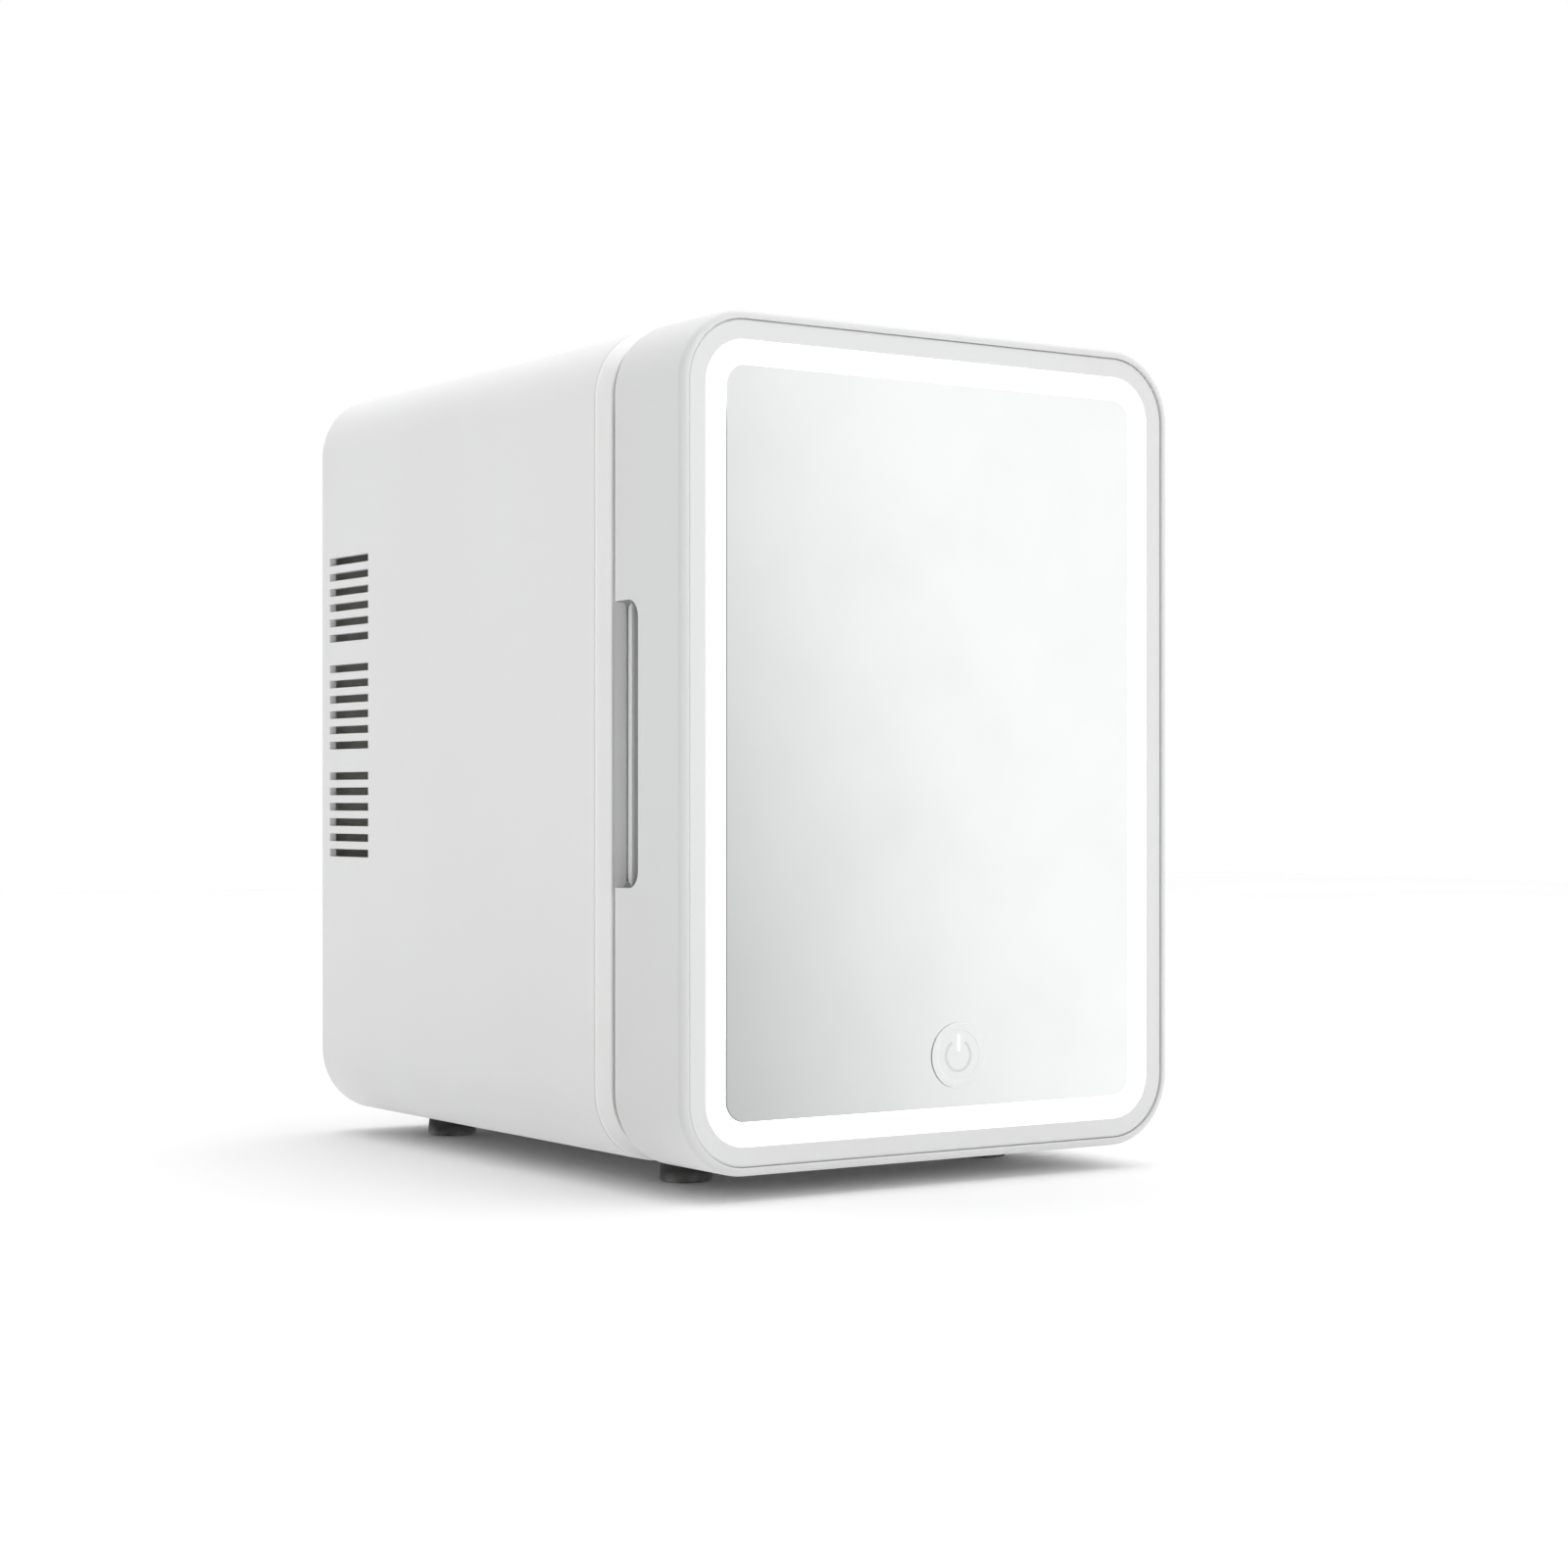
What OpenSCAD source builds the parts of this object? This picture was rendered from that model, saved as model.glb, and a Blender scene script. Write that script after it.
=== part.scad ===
// Thermoelectric mini fridge of the four-litre class with a lit mirror door.
// The origin is on the floor below the middle of the body, +Z is up and the door faces -Y.
// Places along the depth are stations: millimetres back from the door's front face.

/* [Overall] */
// Width of the cabinet and the door
width = 174; // [170:1:180]
// Height of the body above its feet
body_h = 238; // [232:1:244]
// Depth from the door's front face to the rear cover
depth = 230; // [228:1:232]
// Height of the rubber feet
foot_h = 7; // [5:0.5:9]
// Corner radius of the outline seen from the front
corner_r = 21; // [20:0.5:23]

/* [Cabinet] */
// Wall of the cabinet shell
shell_wall = 2.5; // [2:0.1:2.6]
// Station of the cabinet's front edge
cabinet_s = 40.5; // [40.3:0.1:40.6]
// Station of the cabinet's rear edge
shell_end_s = 226; // [225.8:0.1:226]
// Width of the cooled cavity
cavity_w = 138; // [136:1:140]
// Height of the cooled cavity
cavity_h = 200; // [198:1:202]
// Corner radius of the cavity
cavity_r = 10; // [8:1:12]
// Station of the cavity's back wall
cavity_end_s = 176; // [175.8:0.1:176]
// Wall of the inner liner
liner_wall = 1.5; // [1.2:0.1:1.6]

/* [Vents] */
// Slots in one group of side vents
slots_per_group = 6; // [4:1:6]
// Groups of side vents on each side
slot_groups = 3; // [1:1:3]
// Height of one vent slot
slot_h = 2.5; // [2:0.1:3]
// Length of one vent slot
slot_l = 28.4; // [24:0.2:29]
// Distance between slots
slot_pitch = 5.05; // [4.8:0.05:5.1]

/* [Door] */
// Depth of the door
door_t = 38.5; // [38.3:0.1:38.6]
// Wall of the door shell
door_wall = 2.4; // [2.2:0.1:2.4]
// Width of the light ring
ring_w = 6.2; // [5:0.1:6.4]
// Inset of the light ring from the door's edge
ring_inset = 8.3; // [8:0.1:8.4]
// Radius of the touch button
touch_r = 9.5; // [8:0.5:10]
// Depth of the finger notch at its deepest
notch_depth = 10; // [8:0.5:11]
// Height of the finger notch
notch_h = 80; // [70:1:84]

/* [Hinge] */
// Radius of the hinge pins
pin_r = 2; // [1.5:0.1:2.2]
// Radial running clearance of the pins
pin_gap = 0.05; // [0.02:0.01:0.1]
// Distance of each hinge bracket from the middle height
hinge_reach = 70; // [60:1:74]

/* [Cooling] */
// Height of the heat sinks' centre above the floor
cooler_z = 141; // [139:1:143]
// Side of the hot fan's frame
hot_fan = 80; // [80:1:80]
// Side of the cold fan's frame
cold_fan = 50; // [50:1:50]
// Blades on each fan
blades = 7; // [5:1:9]

/* [Hidden] */
$fn = 96;

white = [0.93, 0.93, 0.93];
light_grey = [0.84, 0.85, 0.86];
dark = [0.16, 0.16, 0.17];
board_green = [0.13, 0.36, 0.22];
metal = [0.78, 0.79, 0.8];

mid_z = foot_h + body_h / 2;      // middle height of the body
eps = 0.1;                        // overlap of cutting shapes
fit = 0.2;                        // play between pieces that sit together
frame_s0 = cabinet_s + 0.5;       // front face of the front frame
frame_s1 = frame_s0 + 2.5;        // rear face of the front frame
frame_inset = shell_wall + 0.1;   // front frame's distance from the outline
cabinet_front_r = 1;              // rounding of the cabinet's front edge
cabinet_rear_r = 2;
flange_w = 4;                     // liner flange beyond the cavity
flange_t = 1.5;
foam_s0 = frame_s1 + flange_t + fit;
foam_s1 = 191;                    // rear face of the foam
foam_inset = shell_wall + 0.3;
foam_gap = 0.3;

// Hinge
hinge_x = width / 2 - 6;
hinge_s = door_t - 6;
barrel_r = 5;
barrel_h = 14;
hinge_room = 5.8;                 // reach of the hinge pocket from the axis
hinge_gap = 0.3;
hinge_z = [mid_z + hinge_reach, mid_z - hinge_reach];
pin_l = 32;
block_h = 36;
arm_x0 = 79;
arm_x1 = 84.2;
bracket_x0 = 74.2;
bracket_h = 19;
bracket_t = 2.4;
bracket_screw_x = 76.6;
bracket_screw_z = 6;
bracket_screw_r = 1.2;

// Door
door_front_r = 2.5;               // rounding of the door's front edge
door_rear_r = 5;
recess_s = 3.9;                   // floor of the front recess
channel_s = 10;                   // floor of the light channel
partition_s = 12;                 // rear face of the partition
rim_s = 33;                       // start of the door's thick rear rim
rim_inset = 6;
channel_inset = 5.5;
platform_inset = 16;
ring_end = ring_inset + ring_w;
panel_s0 = 36.1;
plug_w = 124;
plug_h = 186;
plug_s = 48;
plug_wall = 2.5;
gasket_w = 156;
gasket_h = 218;
gasket_band = 7;
gasket_t = 2.2;
touch_x = 7.5;
touch_z = 36.8;
touch_hole_r = 11;
notch_s = 22;
notch_z = mid_z;
notch_block_h = notch_h + 8;
magnet_z = 60;
magnet_x = [-80.6, -75.5];
magnet_half_h = 8;
light_board_inset = 7;
light_board_end = 15;

// Door bin
bin_w = 114;
bin_s0 = 38.7;
bin_s1 = 68;
bin_z0 = 38;
bin_z1 = 98;
bin_front_z = 70;
bin_wall = 1.8;

// Shelf
ledge_z = mid_z - 1;
ledge_w = 4;
shelf_w = 136;
shelf_s0 = 66;
shelf_s1 = 151;
shelf_t = 4;

// Cooler stack, as stations from the cavity to the rear
cold_fin_s = 172;
cold_base_s = 180;
cold_block_s = 183;
peltier_s = 190;
hot_base_s = 193.8;
hot_fin_s = 197.8;
hot_fin_end_s = 210.9;
hot_fan_s0 = 211;
hot_fan_s1 = 225.4;
cold_fan_s0 = 162;
cover_s0 = 154;
clamp_pos = 30;
cold_fan_hole = 20;
hot_fan_hole = 35.75;
cover_screw_pos = 40;
cover_screw_r = 1.2;
cold_fan_screw_r = 1.2;
hot_fan_screw_r = 1.5;
sink_w = 90;
cold_sink_w = 70;
fin_screw_r = 1.4;

// Rear
tray_s0 = 223.5;
tray_s1 = 228;
tray_face_s = 225.8;
tray_inset = 2.7;
grille_r = 38;
panel_z = 46;                     // height of the inlets and the switch
inlet_x = 38;
rear_screw_x = 79.5;
rear_screw_z = [40, 212];
rear_screw_r = 1.3;
rear_boss_r = 4;
foot_x = 54;
foot_s = [50, 195];
foot_r = 8;
foot_recess_r = 4;
foot_screw_r = 1.4;
foot_boss_r = 4.5;
foot_boss_h = 6.6;

// Circuit boards and wires
board_s = 196;
board_t = 1.6;
board_leg_r = 3;
board_hole_r = 1.5;
board_hole_inset = 4;
wire_r = 0.9;
wire_s = 203;
wire_low_z = 70;
wire_high_z = 203;
branch_s = 216;                   // where a branch reaches the hot fan

// y coordinate of a station
function st(s) = s - depth / 2;

// Signs of the four corners of a rectangle
corners = [[-1, -1], [-1, 1], [1, -1], [1, 1]];

// Rounded rectangle centred at the origin
module rounded_rect(w, h, r) {
    square([w - 2 * r, h], center = true);
    square([w, h - 2 * r], center = true);
    for (c = corners) translate([c[0] * (w / 2 - r), c[1] * (h / 2 - r)]) circle(r = r);
}

// Front outline of the body, moved inwards by inset
module outline(inset) {
    rounded_rect(width - 2 * inset, body_h - 2 * inset, corner_r - inset);
}

// Front outline of the cavity, grown by extra
module cavity_outline(extra = 0) {
    rounded_rect(cavity_w + 2 * extra, cavity_h + 2 * extra, cavity_r + extra);
}

// Extrudes a drawing in x and z, centred at height z, between two stations
module run(s0, s1, z = mid_z, x = 0) {
    translate([x, st(s1), z]) rotate([90, 0, 0]) linear_extrude(s1 - s0) children();
}

// Round bar along the depth between two stations
module bar(x, z, r, s0, s1) {
    translate([x, st(s0), z]) rotate([-90, 0, 0]) cylinder(r = r, h = s1 - s0);
}

// Box given by ranges of x, station and z
module block(x, s, z) {
    translate([x[0], st(s[0]), z[0]]) cube([x[1] - x[0], s[1] - s[0], z[1] - z[0]]);
}

// Section through an edge of a casing, with its front and rear corners rounded
module edge_section(s0, s1, r_front, r_rear) {
    r_big = max(r_front, r_rear);
    translate([0, st(s0)]) square([corner_r - r_big, s1 - s0]);
    translate([0, st(s0)]) square([corner_r - r_front, s1 - s0 - r_rear]);
    translate([0, st(s0 + r_front)]) square([corner_r, s1 - s0 - r_front - r_rear]);
    translate([corner_r - r_front, st(s0 + r_front)]) circle(r = r_front);
    translate([corner_r - r_rear, st(s1 - r_rear)]) circle(r = r_rear);
}

// Solid casing with the body's outline and rounded front and rear edges
module casing(s0, s1, r_front, r_rear) {
    x = width / 2 - corner_r;
    z = body_h / 2 - corner_r;
    translate([0, 0, mid_z]) {
        translate([-x, st(s0), -z]) cube([2 * x, s1 - s0, 2 * z]);
        for (side = [0, 1]) mirror([side, 0, 0])
            translate([x, 0, -z]) linear_extrude(2 * z) edge_section(s0, s1, r_front, r_rear);
        for (side = [0, 1]) mirror([0, 0, side])
            translate([x, 0, z]) rotate([0, -90, 0])
                linear_extrude(2 * x) edge_section(s0, s1, r_front, r_rear);
        for (left = [0, 1], up = [0, 1]) mirror([left, 0, 0]) mirror([0, 0, up])
            translate([x, 0, -z]) rotate([-90, 0, 0])
                rotate_extrude(angle = 90) edge_section(s0, s1, r_front, r_rear);
    }
}

// Cabinet

module side_vents() {
    per_side = slots_per_group * slot_groups + slot_groups - 1;
    first_z = cooler_z - (per_side - 1) * slot_pitch / 2;
    mid_s = 204.7;
    for (side = [-1, 1], i = [0 : per_side - 1])
        if ((i + 1) % (slots_per_group + 1) != 0)
            block([side * width / 2 - 2 * shell_wall, side * width / 2 + 2 * shell_wall],
                  [mid_s - slot_l / 2, mid_s + slot_l / 2],
                  [first_z + i * slot_pitch - slot_h / 2, first_z + i * slot_pitch + slot_h / 2]);
}

module cabinet_shell() {
    boss_s0 = 205;
    boss_s1 = tray_s0 - eps;
    rib_t = 4;
    color(white) difference() {
        union() {
            difference() {
                casing(cabinet_s, shell_end_s, cabinet_front_r, cabinet_rear_r);
                run(cabinet_s - 1, shell_end_s + 1) outline(shell_wall);
                side_vents();
            }
            for (x = [-foot_x, foot_x], s = foot_s)
                translate([x, st(s), foot_h + shell_wall - eps]) cylinder(r = foot_boss_r, h = foot_boss_h);
            for (side = [-1, 1], z = rear_screw_z) {
                bar(side * rear_screw_x, z, rear_boss_r, boss_s0, boss_s1);
                translate([side * rear_screw_x, st(boss_s0), z - rib_t / 2])
                    mirror([side < 0 ? 1 : 0, 0, 0])
                        cube([width / 2 - shell_wall - rear_screw_x + eps, boss_s1 - boss_s0, rib_t]);
            }
        }
        for (x = [-foot_x, foot_x], s = foot_s)
            translate([x, st(s), foot_h - 1]) cylinder(r = foot_screw_r, h = 9);
        for (side = [-1, 1], z = rear_screw_z)
            bar(side * rear_screw_x, z, rear_screw_r, boss_s0 + 5, boss_s1 + 1);
    }
}

module front_frame() {
    color(white) difference() {
        run(frame_s0, frame_s1) outline(frame_inset);
        run(frame_s0 - 1, frame_s1 + 1) cavity_outline();
        for (z = hinge_z) {
            block([arm_x0 - fit, width / 2], [frame_s0 - 1, frame_s1 + 1],
                  [z - barrel_h / 2 - 2 * fit, z + barrel_h / 2 + 2 * fit]);
            for (side = [-1, 1])
                bar(bracket_screw_x, z + side * bracket_screw_z, bracket_screw_r,
                    frame_s0 + 0.8, frame_s1 + 1);
        }
    }
}

module inner_liner() {
    window = 72;
    end_s = cavity_end_s + liner_wall;
    color(white) difference() {
        union() {
            difference() {
                union() {
                    run(frame_s1, frame_s1 + flange_t) cavity_outline(flange_w);
                    run(frame_s1, end_s) cavity_outline(liner_wall);
                }
                run(frame_s1 - 1, cavity_end_s) cavity_outline();
            }
            for (side = [-1, 1])
                block([side * (cavity_w / 2 - ledge_w / 2 + eps / 2) - ledge_w / 2 - eps / 2,
                       side * (cavity_w / 2 - ledge_w / 2 + eps / 2) + ledge_w / 2 + eps / 2],
                      [60, 170], [ledge_z - 3, ledge_z]);
        }
        run(cavity_end_s - 1, end_s + 1, cooler_z) rounded_rect(window, window, 3);
        for (c = corners)
            bar(c[0] * cover_screw_pos, cooler_z + c[1] * cover_screw_pos, cover_screw_r,
                cavity_end_s - 1, end_s + 1);
    }
}

module foam_jacket() {
    liner_end_s = cavity_end_s + liner_wall;
    color([0.96, 0.95, 0.88]) difference() {
        run(foam_s0, foam_s1) outline(foam_inset);
        run(foam_s0 - 1, liner_end_s + fit) cavity_outline(liner_wall + foam_gap);
        run(liner_end_s, cold_block_s + fit, cooler_z)
            square([cold_sink_w + 1, cold_sink_w + 1], center = true);
        run(cold_block_s, foam_s1 + 1, cooler_z) square([41, 41], center = true);
        for (c = corners)
            bar(c[0] * clamp_pos, cooler_z + c[1] * clamp_pos, 1.8, cold_block_s, foam_s1 + 1);
        for (z = hinge_z)
            block([bracket_x0 - 0.4, width / 2], [foam_s0 - 1, foam_s0 + 5],
                  [z - bracket_h / 2 - 0.5, z + bracket_h / 2 + 0.5]);
        for (x = [-foot_x, foot_x], s = foot_s)
            translate([x, st(s), foot_h]) cylinder(r = 5, h = 9.6);
    }
}

// Bracket on the cabinet that carries one hinge pin
module hinge_bracket(z) {
    color(metal) difference() {
        union() {
            translate([hinge_x, st(hinge_s), z - barrel_h / 2]) cylinder(r = barrel_r, h = barrel_h);
            block([arm_x0, arm_x1], [hinge_s, frame_s1 + bracket_t],
                  [z - barrel_h / 2, z + barrel_h / 2]);
            block([bracket_x0, arm_x1], [frame_s1 + eps, frame_s1 + eps + bracket_t],
                  [z - bracket_h / 2, z + bracket_h / 2]);
        }
        translate([hinge_x, st(hinge_s), z - barrel_h]) cylinder(r = pin_r + pin_gap, h = 2 * barrel_h);
        for (side = [-1, 1])
            bar(bracket_screw_x, z + side * bracket_screw_z, bracket_screw_r,
                frame_s1, frame_s1 + 2 * bracket_t);
    }
}

module upper_hinge_bracket() { hinge_bracket(hinge_z[0]); }
module lower_hinge_bracket() { hinge_bracket(hinge_z[1]); }

module bracket_screws() {
    head_s = frame_s1 + eps + bracket_t;
    color(metal) for (z = hinge_z, side = [-1, 1]) {
        bar(bracket_screw_x, z + side * bracket_screw_z, bracket_screw_r, frame_s0 + 0.8, head_s + eps);
        bar(bracket_screw_x, z + side * bracket_screw_z, 2.2, head_s, head_s + 1.6);
    }
}

module strike_plates() {
    color(metal) for (side = [-1, 1])
        block([-84, -74.5], [frame_s1, frame_s1 + flange_t],
              [mid_z + side * magnet_z - 10, mid_z + side * magnet_z + 10]);
}

// Cooling

// Plate with upright fins, and screw holes at the given places
module finned_plate(side, base_s0, base_s1, fin_s0, fin_s1, count, pitch, fin_t) {
    difference() {
        union() {
            run(base_s0, base_s1, cooler_z) square([side, side], center = true);
            for (i = [0 : count - 1])
                run(fin_s0, fin_s1, cooler_z, (i - (count - 1) / 2) * pitch)
                    square([fin_t, side], center = true);
        }
        for (c = corners) {
            bar(c[0] * clamp_pos, cooler_z + c[1] * clamp_pos, fin_screw_r, base_s0 - 1, base_s1 + 1);
            children(0);
        }
    }
}

module cold_sink() {
    color(metal) finned_plate(cold_sink_w, cold_base_s, cold_block_s, cold_fin_s, cold_base_s + eps, 14, 5, 1)
        for (c = corners)
            bar(c[0] * cold_fan_hole, cooler_z + c[1] * cold_fan_hole, cold_fan_screw_r,
                cold_base_s - 1, cold_base_s + 2);
}

module cold_block() {
    color(metal) run(cold_block_s, peltier_s, cooler_z) square([40, 40], center = true);
}

module peltier_module() {
    color(white) run(peltier_s, hot_base_s, cooler_z) square([40, 40], center = true);
}

module hot_sink() {
    color(metal) finned_plate(sink_w, hot_base_s, hot_fin_s, hot_fin_s - eps, hot_fin_end_s, 14, 6, 1.2)
        for (c = corners)
            bar(c[0] * hot_fan_hole, cooler_z + c[1] * hot_fan_hole, hot_fan_screw_r,
                hot_base_s + 1, hot_fin_s + 1);
}

module clamp_screws() {
    color(metal) for (c = corners) {
        bar(c[0] * clamp_pos, cooler_z + c[1] * clamp_pos, fin_screw_r, cold_base_s + 0.5, hot_fin_s + eps);
        bar(c[0] * clamp_pos, cooler_z + c[1] * clamp_pos, 2.1, hot_fin_s, hot_fin_s + 2);
    }
}

// Square fan frame with a motor cup, struts and an axle; the cup is at cup_s
module fan_frame(side, s0, s1, bore_r, hub_r, hole, hole_r, cup_s, cup_end_s, axle_s, axle_r) {
    color(dark) {
        difference() {
            run(s0, s1, cooler_z) rounded_rect(side, side, 3);
            bar(0, cooler_z, bore_r, s0 - 1, s1 + 1);
            for (c = corners) bar(c[0] * hole, cooler_z + c[1] * hole, hole_r, s0 - 1, s1 + 1);
        }
        bar(0, cooler_z, hub_r, min(cup_s, cup_end_s), max(cup_s, cup_end_s));
        difference() {
            for (a = [45, 135])
                translate([0, 0, cooler_z]) rotate([0, a, 0]) translate([0, 0, -cooler_z])
                    block([-bore_r - 1, bore_r + 1], [min(cup_s, cup_end_s), max(cup_s, cup_end_s)],
                          [cooler_z - 1.5, cooler_z + 1.5]);
            bar(0, cooler_z, hub_r - 1, s0 - 1, s1 + 1);
        }
        bar(0, cooler_z, axle_r, min(axle_s, cup_end_s), max(axle_s, cup_end_s));
    }
}

// Fan rotor: a hub cup that is closed at closed_s, a bush for the axle and pitched blades
module fan_rotor(hub_r, tip_r, s0, s1, axle_r, closed_at_rear, chord, wall) {
    open_s = closed_at_rear ? s0 - 1 : s0 + wall;
    shut_s = closed_at_rear ? s1 - wall : s1 + 1;
    mid_s = (s0 + s1) / 2;
    color(dark) difference() {
        union() {
            difference() {
                bar(0, cooler_z, hub_r, s0, s1);
                bar(0, cooler_z, hub_r - wall, open_s, shut_s);
            }
            bar(0, cooler_z, axle_r + 2.5, s0 + 0.4, s1 - 0.4);
            for (i = [0 : blades - 1])
                translate([0, st(mid_s), cooler_z]) rotate([-90, 0, 0]) rotate([0, 0, i * 360 / blades])
                    rotate([38, 0, 0]) translate([hub_r - wall / 2, -chord / 2, -0.6])
                        cube([tip_r - hub_r + wall / 2, chord, 1.2]);
        }
        bar(0, cooler_z, axle_r + pin_gap,
            closed_at_rear ? s0 - 1 : s0 + wall, closed_at_rear ? s1 - wall : s1 + 1);
    }
}

module cold_fan_frame() {
    fan_frame(cold_fan, cold_fan_s0, cold_fin_s, 23.4, 9, cold_fan_hole, 1.4,
              cold_fin_s, cold_fin_s - 1.6, cold_fan_s0 + 2.6, 1);
}

module cold_fan_rotor() { fan_rotor(9.5, 22, cold_fan_s0 + 0.8, cold_fin_s - 2.2, 1, false, 9, 1.2); }

module cold_fan_screws() {
    color(metal) for (c = corners) {
        x = c[0] * cold_fan_hole;
        z = cooler_z + c[1] * cold_fan_hole;
        bar(x, z, cold_fan_screw_r, cold_fan_s0 - eps, cold_base_s + 2);
        bar(x, z, 2.4, cold_fan_s0 - 1.5, cold_fan_s0);
    }
}

// Rings and spokes of a round fan grille
module grille_drawing(r, rings, spokes, bar_w) {
    circle(r = r / 5);
    for (i = [1 : rings]) difference() {
        radius = r / 5 + (r - r / 5) * i / (rings + 1);
        circle(r = radius + bar_w / 2);
        circle(r = radius - bar_w / 2);
    }
    for (i = [0 : spokes - 1]) rotate(i * 180 / spokes)
        difference() {
            square([2 * r + 1, bar_w], center = true);
            circle(r = r / 5 - 1);
        }
}

module cold_fan_cover() {
    side = 92;
    wall = 2;
    opening_r = 27;
    color(white) {
        difference() {
            union() {
                difference() {
                    run(cover_s0, cavity_end_s, cooler_z) rounded_rect(side, side, 8);
                    run(cover_s0 + wall, cavity_end_s + 1, cooler_z)
                        rounded_rect(side - 2 * wall, side - 2 * wall, 6);
                }
                for (c = corners)
                    bar(c[0] * cover_screw_pos, cooler_z + c[1] * cover_screw_pos, 3.2,
                        cover_s0 + wall - eps, cavity_end_s);
            }
            bar(0, cooler_z, opening_r, cover_s0 - 1, cover_s0 + wall + 1);
            for (c = corners)
                bar(c[0] * cover_screw_pos, cooler_z + c[1] * cover_screw_pos, cover_screw_r,
                    cover_s0 - 1, cavity_end_s + 1);
            for (i = [-4 : 4])
                block([i * 7 - 1.5, i * 7 + 1.5], [cover_s0 + 6, cavity_end_s - 4],
                      [cooler_z - side, cooler_z + side]);
        }
        run(cover_s0, cover_s0 + wall, cooler_z) grille_drawing(opening_r, 4, 3, 1.6);
    }
}

module cover_screws() {
    color(metal) for (c = corners) {
        x = c[0] * cover_screw_pos;
        z = cooler_z + c[1] * cover_screw_pos;
        bar(x, z, cover_screw_r, cover_s0 - eps, cavity_end_s + liner_wall);
        bar(x, z, 2.6, cover_s0 - 1.2, cover_s0);
    }
}

module hot_fan_frame() {
    fan_frame(hot_fan, hot_fan_s0, hot_fan_s1, 38.5, 16, hot_fan_hole, 2,
              hot_fan_s0, hot_fan_s0 + 1.6, hot_fan_s1 - 3.2, 1.5);
}

module hot_fan_rotor() { fan_rotor(17, 36.8, hot_fan_s0 + 2.2, hot_fan_s1 - 1, 1.5, true, 14, 1.6); }

module hot_fan_screws() {
    color(metal) for (c = corners) {
        x = c[0] * hot_fan_hole;
        z = cooler_z + c[1] * hot_fan_hole;
        bar(x, z, hot_fan_screw_r, hot_base_s + 1, tray_s1 + eps);
        bar(x, z, 3.2, tray_s1, tray_s1 + 1.8);
    }
}

// Rear

module rear_cover() {
    rim_w = 5;
    skirt = 2.5;
    slot_count = 9;
    color(white) {
        difference() {
            union() {
                difference() {
                    run(tray_s0, tray_s1) outline(tray_inset);
                    run(tray_s0 - 1, tray_face_s) outline(tray_inset + skirt);
                }
                for (side = [-1, 1], z = rear_screw_z)
                    bar(side * rear_screw_x, z, 3.6, tray_s0, tray_face_s + eps);
                bar(0, cooler_z, grille_r + rim_w, tray_face_s, depth);
            }
            bar(0, cooler_z, grille_r, tray_s0, depth + 1);
            for (side = [-1, 1], z = rear_screw_z)
                bar(side * rear_screw_x, z, 1.6, tray_s0 - 1, tray_s1 + 1);
            for (c = corners)
                bar(c[0] * hot_fan_hole, cooler_z + c[1] * hot_fan_hole, 1.7, tray_s0, depth + 1);
            for (c = corners)
                bar(c[0] * hot_fan_hole, cooler_z + c[1] * hot_fan_hole, 3.5, tray_s1, depth + 1);
            for (i = [0 : slot_count - 1])
                run(tray_face_s - 1, tray_s1 + 1, 208, (i - (slot_count - 1) / 2) * 9)
                    rounded_rect(3.2, 22, 1.5);
            run(tray_face_s - 1, tray_s1 + 1, panel_z, -inlet_x) square([24.2, 16.2], center = true);
            run(tray_face_s - 1, tray_s1 + 1, panel_z, inlet_x) square([18.2, 12.2], center = true);
            run(tray_face_s - 1, tray_s1 + 1, panel_z) square([24.2, 14.2], center = true);
        }
        run(tray_face_s, tray_s1, cooler_z) grille_drawing(grille_r, 5, 4, 1.8);
    }
}

module rear_cover_screws() {
    color(metal) for (side = [-1, 1], z = rear_screw_z) {
        bar(side * rear_screw_x, z, rear_screw_r, 211, tray_s1 + eps);
        bar(side * rear_screw_x, z, 2.8, tray_s1, tray_s1 + 1.6);
    }
}

// Socket body with a flange, a hollow mouth and holes for its pins
module socket(x, body, flange, s0, mouth_s, pin_x, pin_hole_r) {
    color(dark) difference() {
        union() {
            run(s0, tray_s1 + eps, panel_z, x) square(body, center = true);
            run(tray_s1, tray_s1 + 1.4, panel_z, x) rounded_rect(flange[0], flange[1], 2.5);
        }
        run(mouth_s, depth + 1, panel_z, x) children(0);
        for (side = [-1, 1]) bar(x + side * pin_x, panel_z, pin_hole_r, s0 + 2, mouth_s + 1);
    }
}

module ac_inlet() {
    socket(-inlet_x, [24, 16], [29, 21], 212, 217.5, 4.3, 1.2) {
        union() {
            for (side = [-1, 1]) translate([side * 3.9, 0]) circle(r = 4.5);
            square([7.8, 8], center = true);
        }
    }
}

module ac_pins() {
    color(metal) for (side = [-1, 1]) bar(-inlet_x + side * 4.3, panel_z, 1.2, 214, 227);
}

module dc_inlet() {
    socket(inlet_x, [18, 12], [23, 17], 213, 218.5, 3.8, 1) rounded_rect(14, 7.6, 1.5);
}

module dc_pins() {
    color(metal) for (side = [-1, 1]) bar(inlet_x + side * 3.8, panel_z, 1, 215, 226.5);
}

module switch_housing() {
    color(dark) difference() {
        union() {
            run(219, tray_s1 + eps, panel_z) square([24, 14], center = true);
            run(tray_s1, tray_s1 + 1.2, panel_z) rounded_rect(28, 18, 2);
        }
        run(221.8, 226.6, panel_z) square([19, 8.6], center = true);
        run(226, depth + 1, panel_z) square([14.4, 6.4], center = true);
    }
}

module switch_knob() {
    color(light_grey) {
        run(222.2, 226.2, panel_z) square([9.2, 7.8], center = true);
        run(226.1, depth - eps, panel_z) square([5.6, 5.4], center = true);
    }
}

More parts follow.
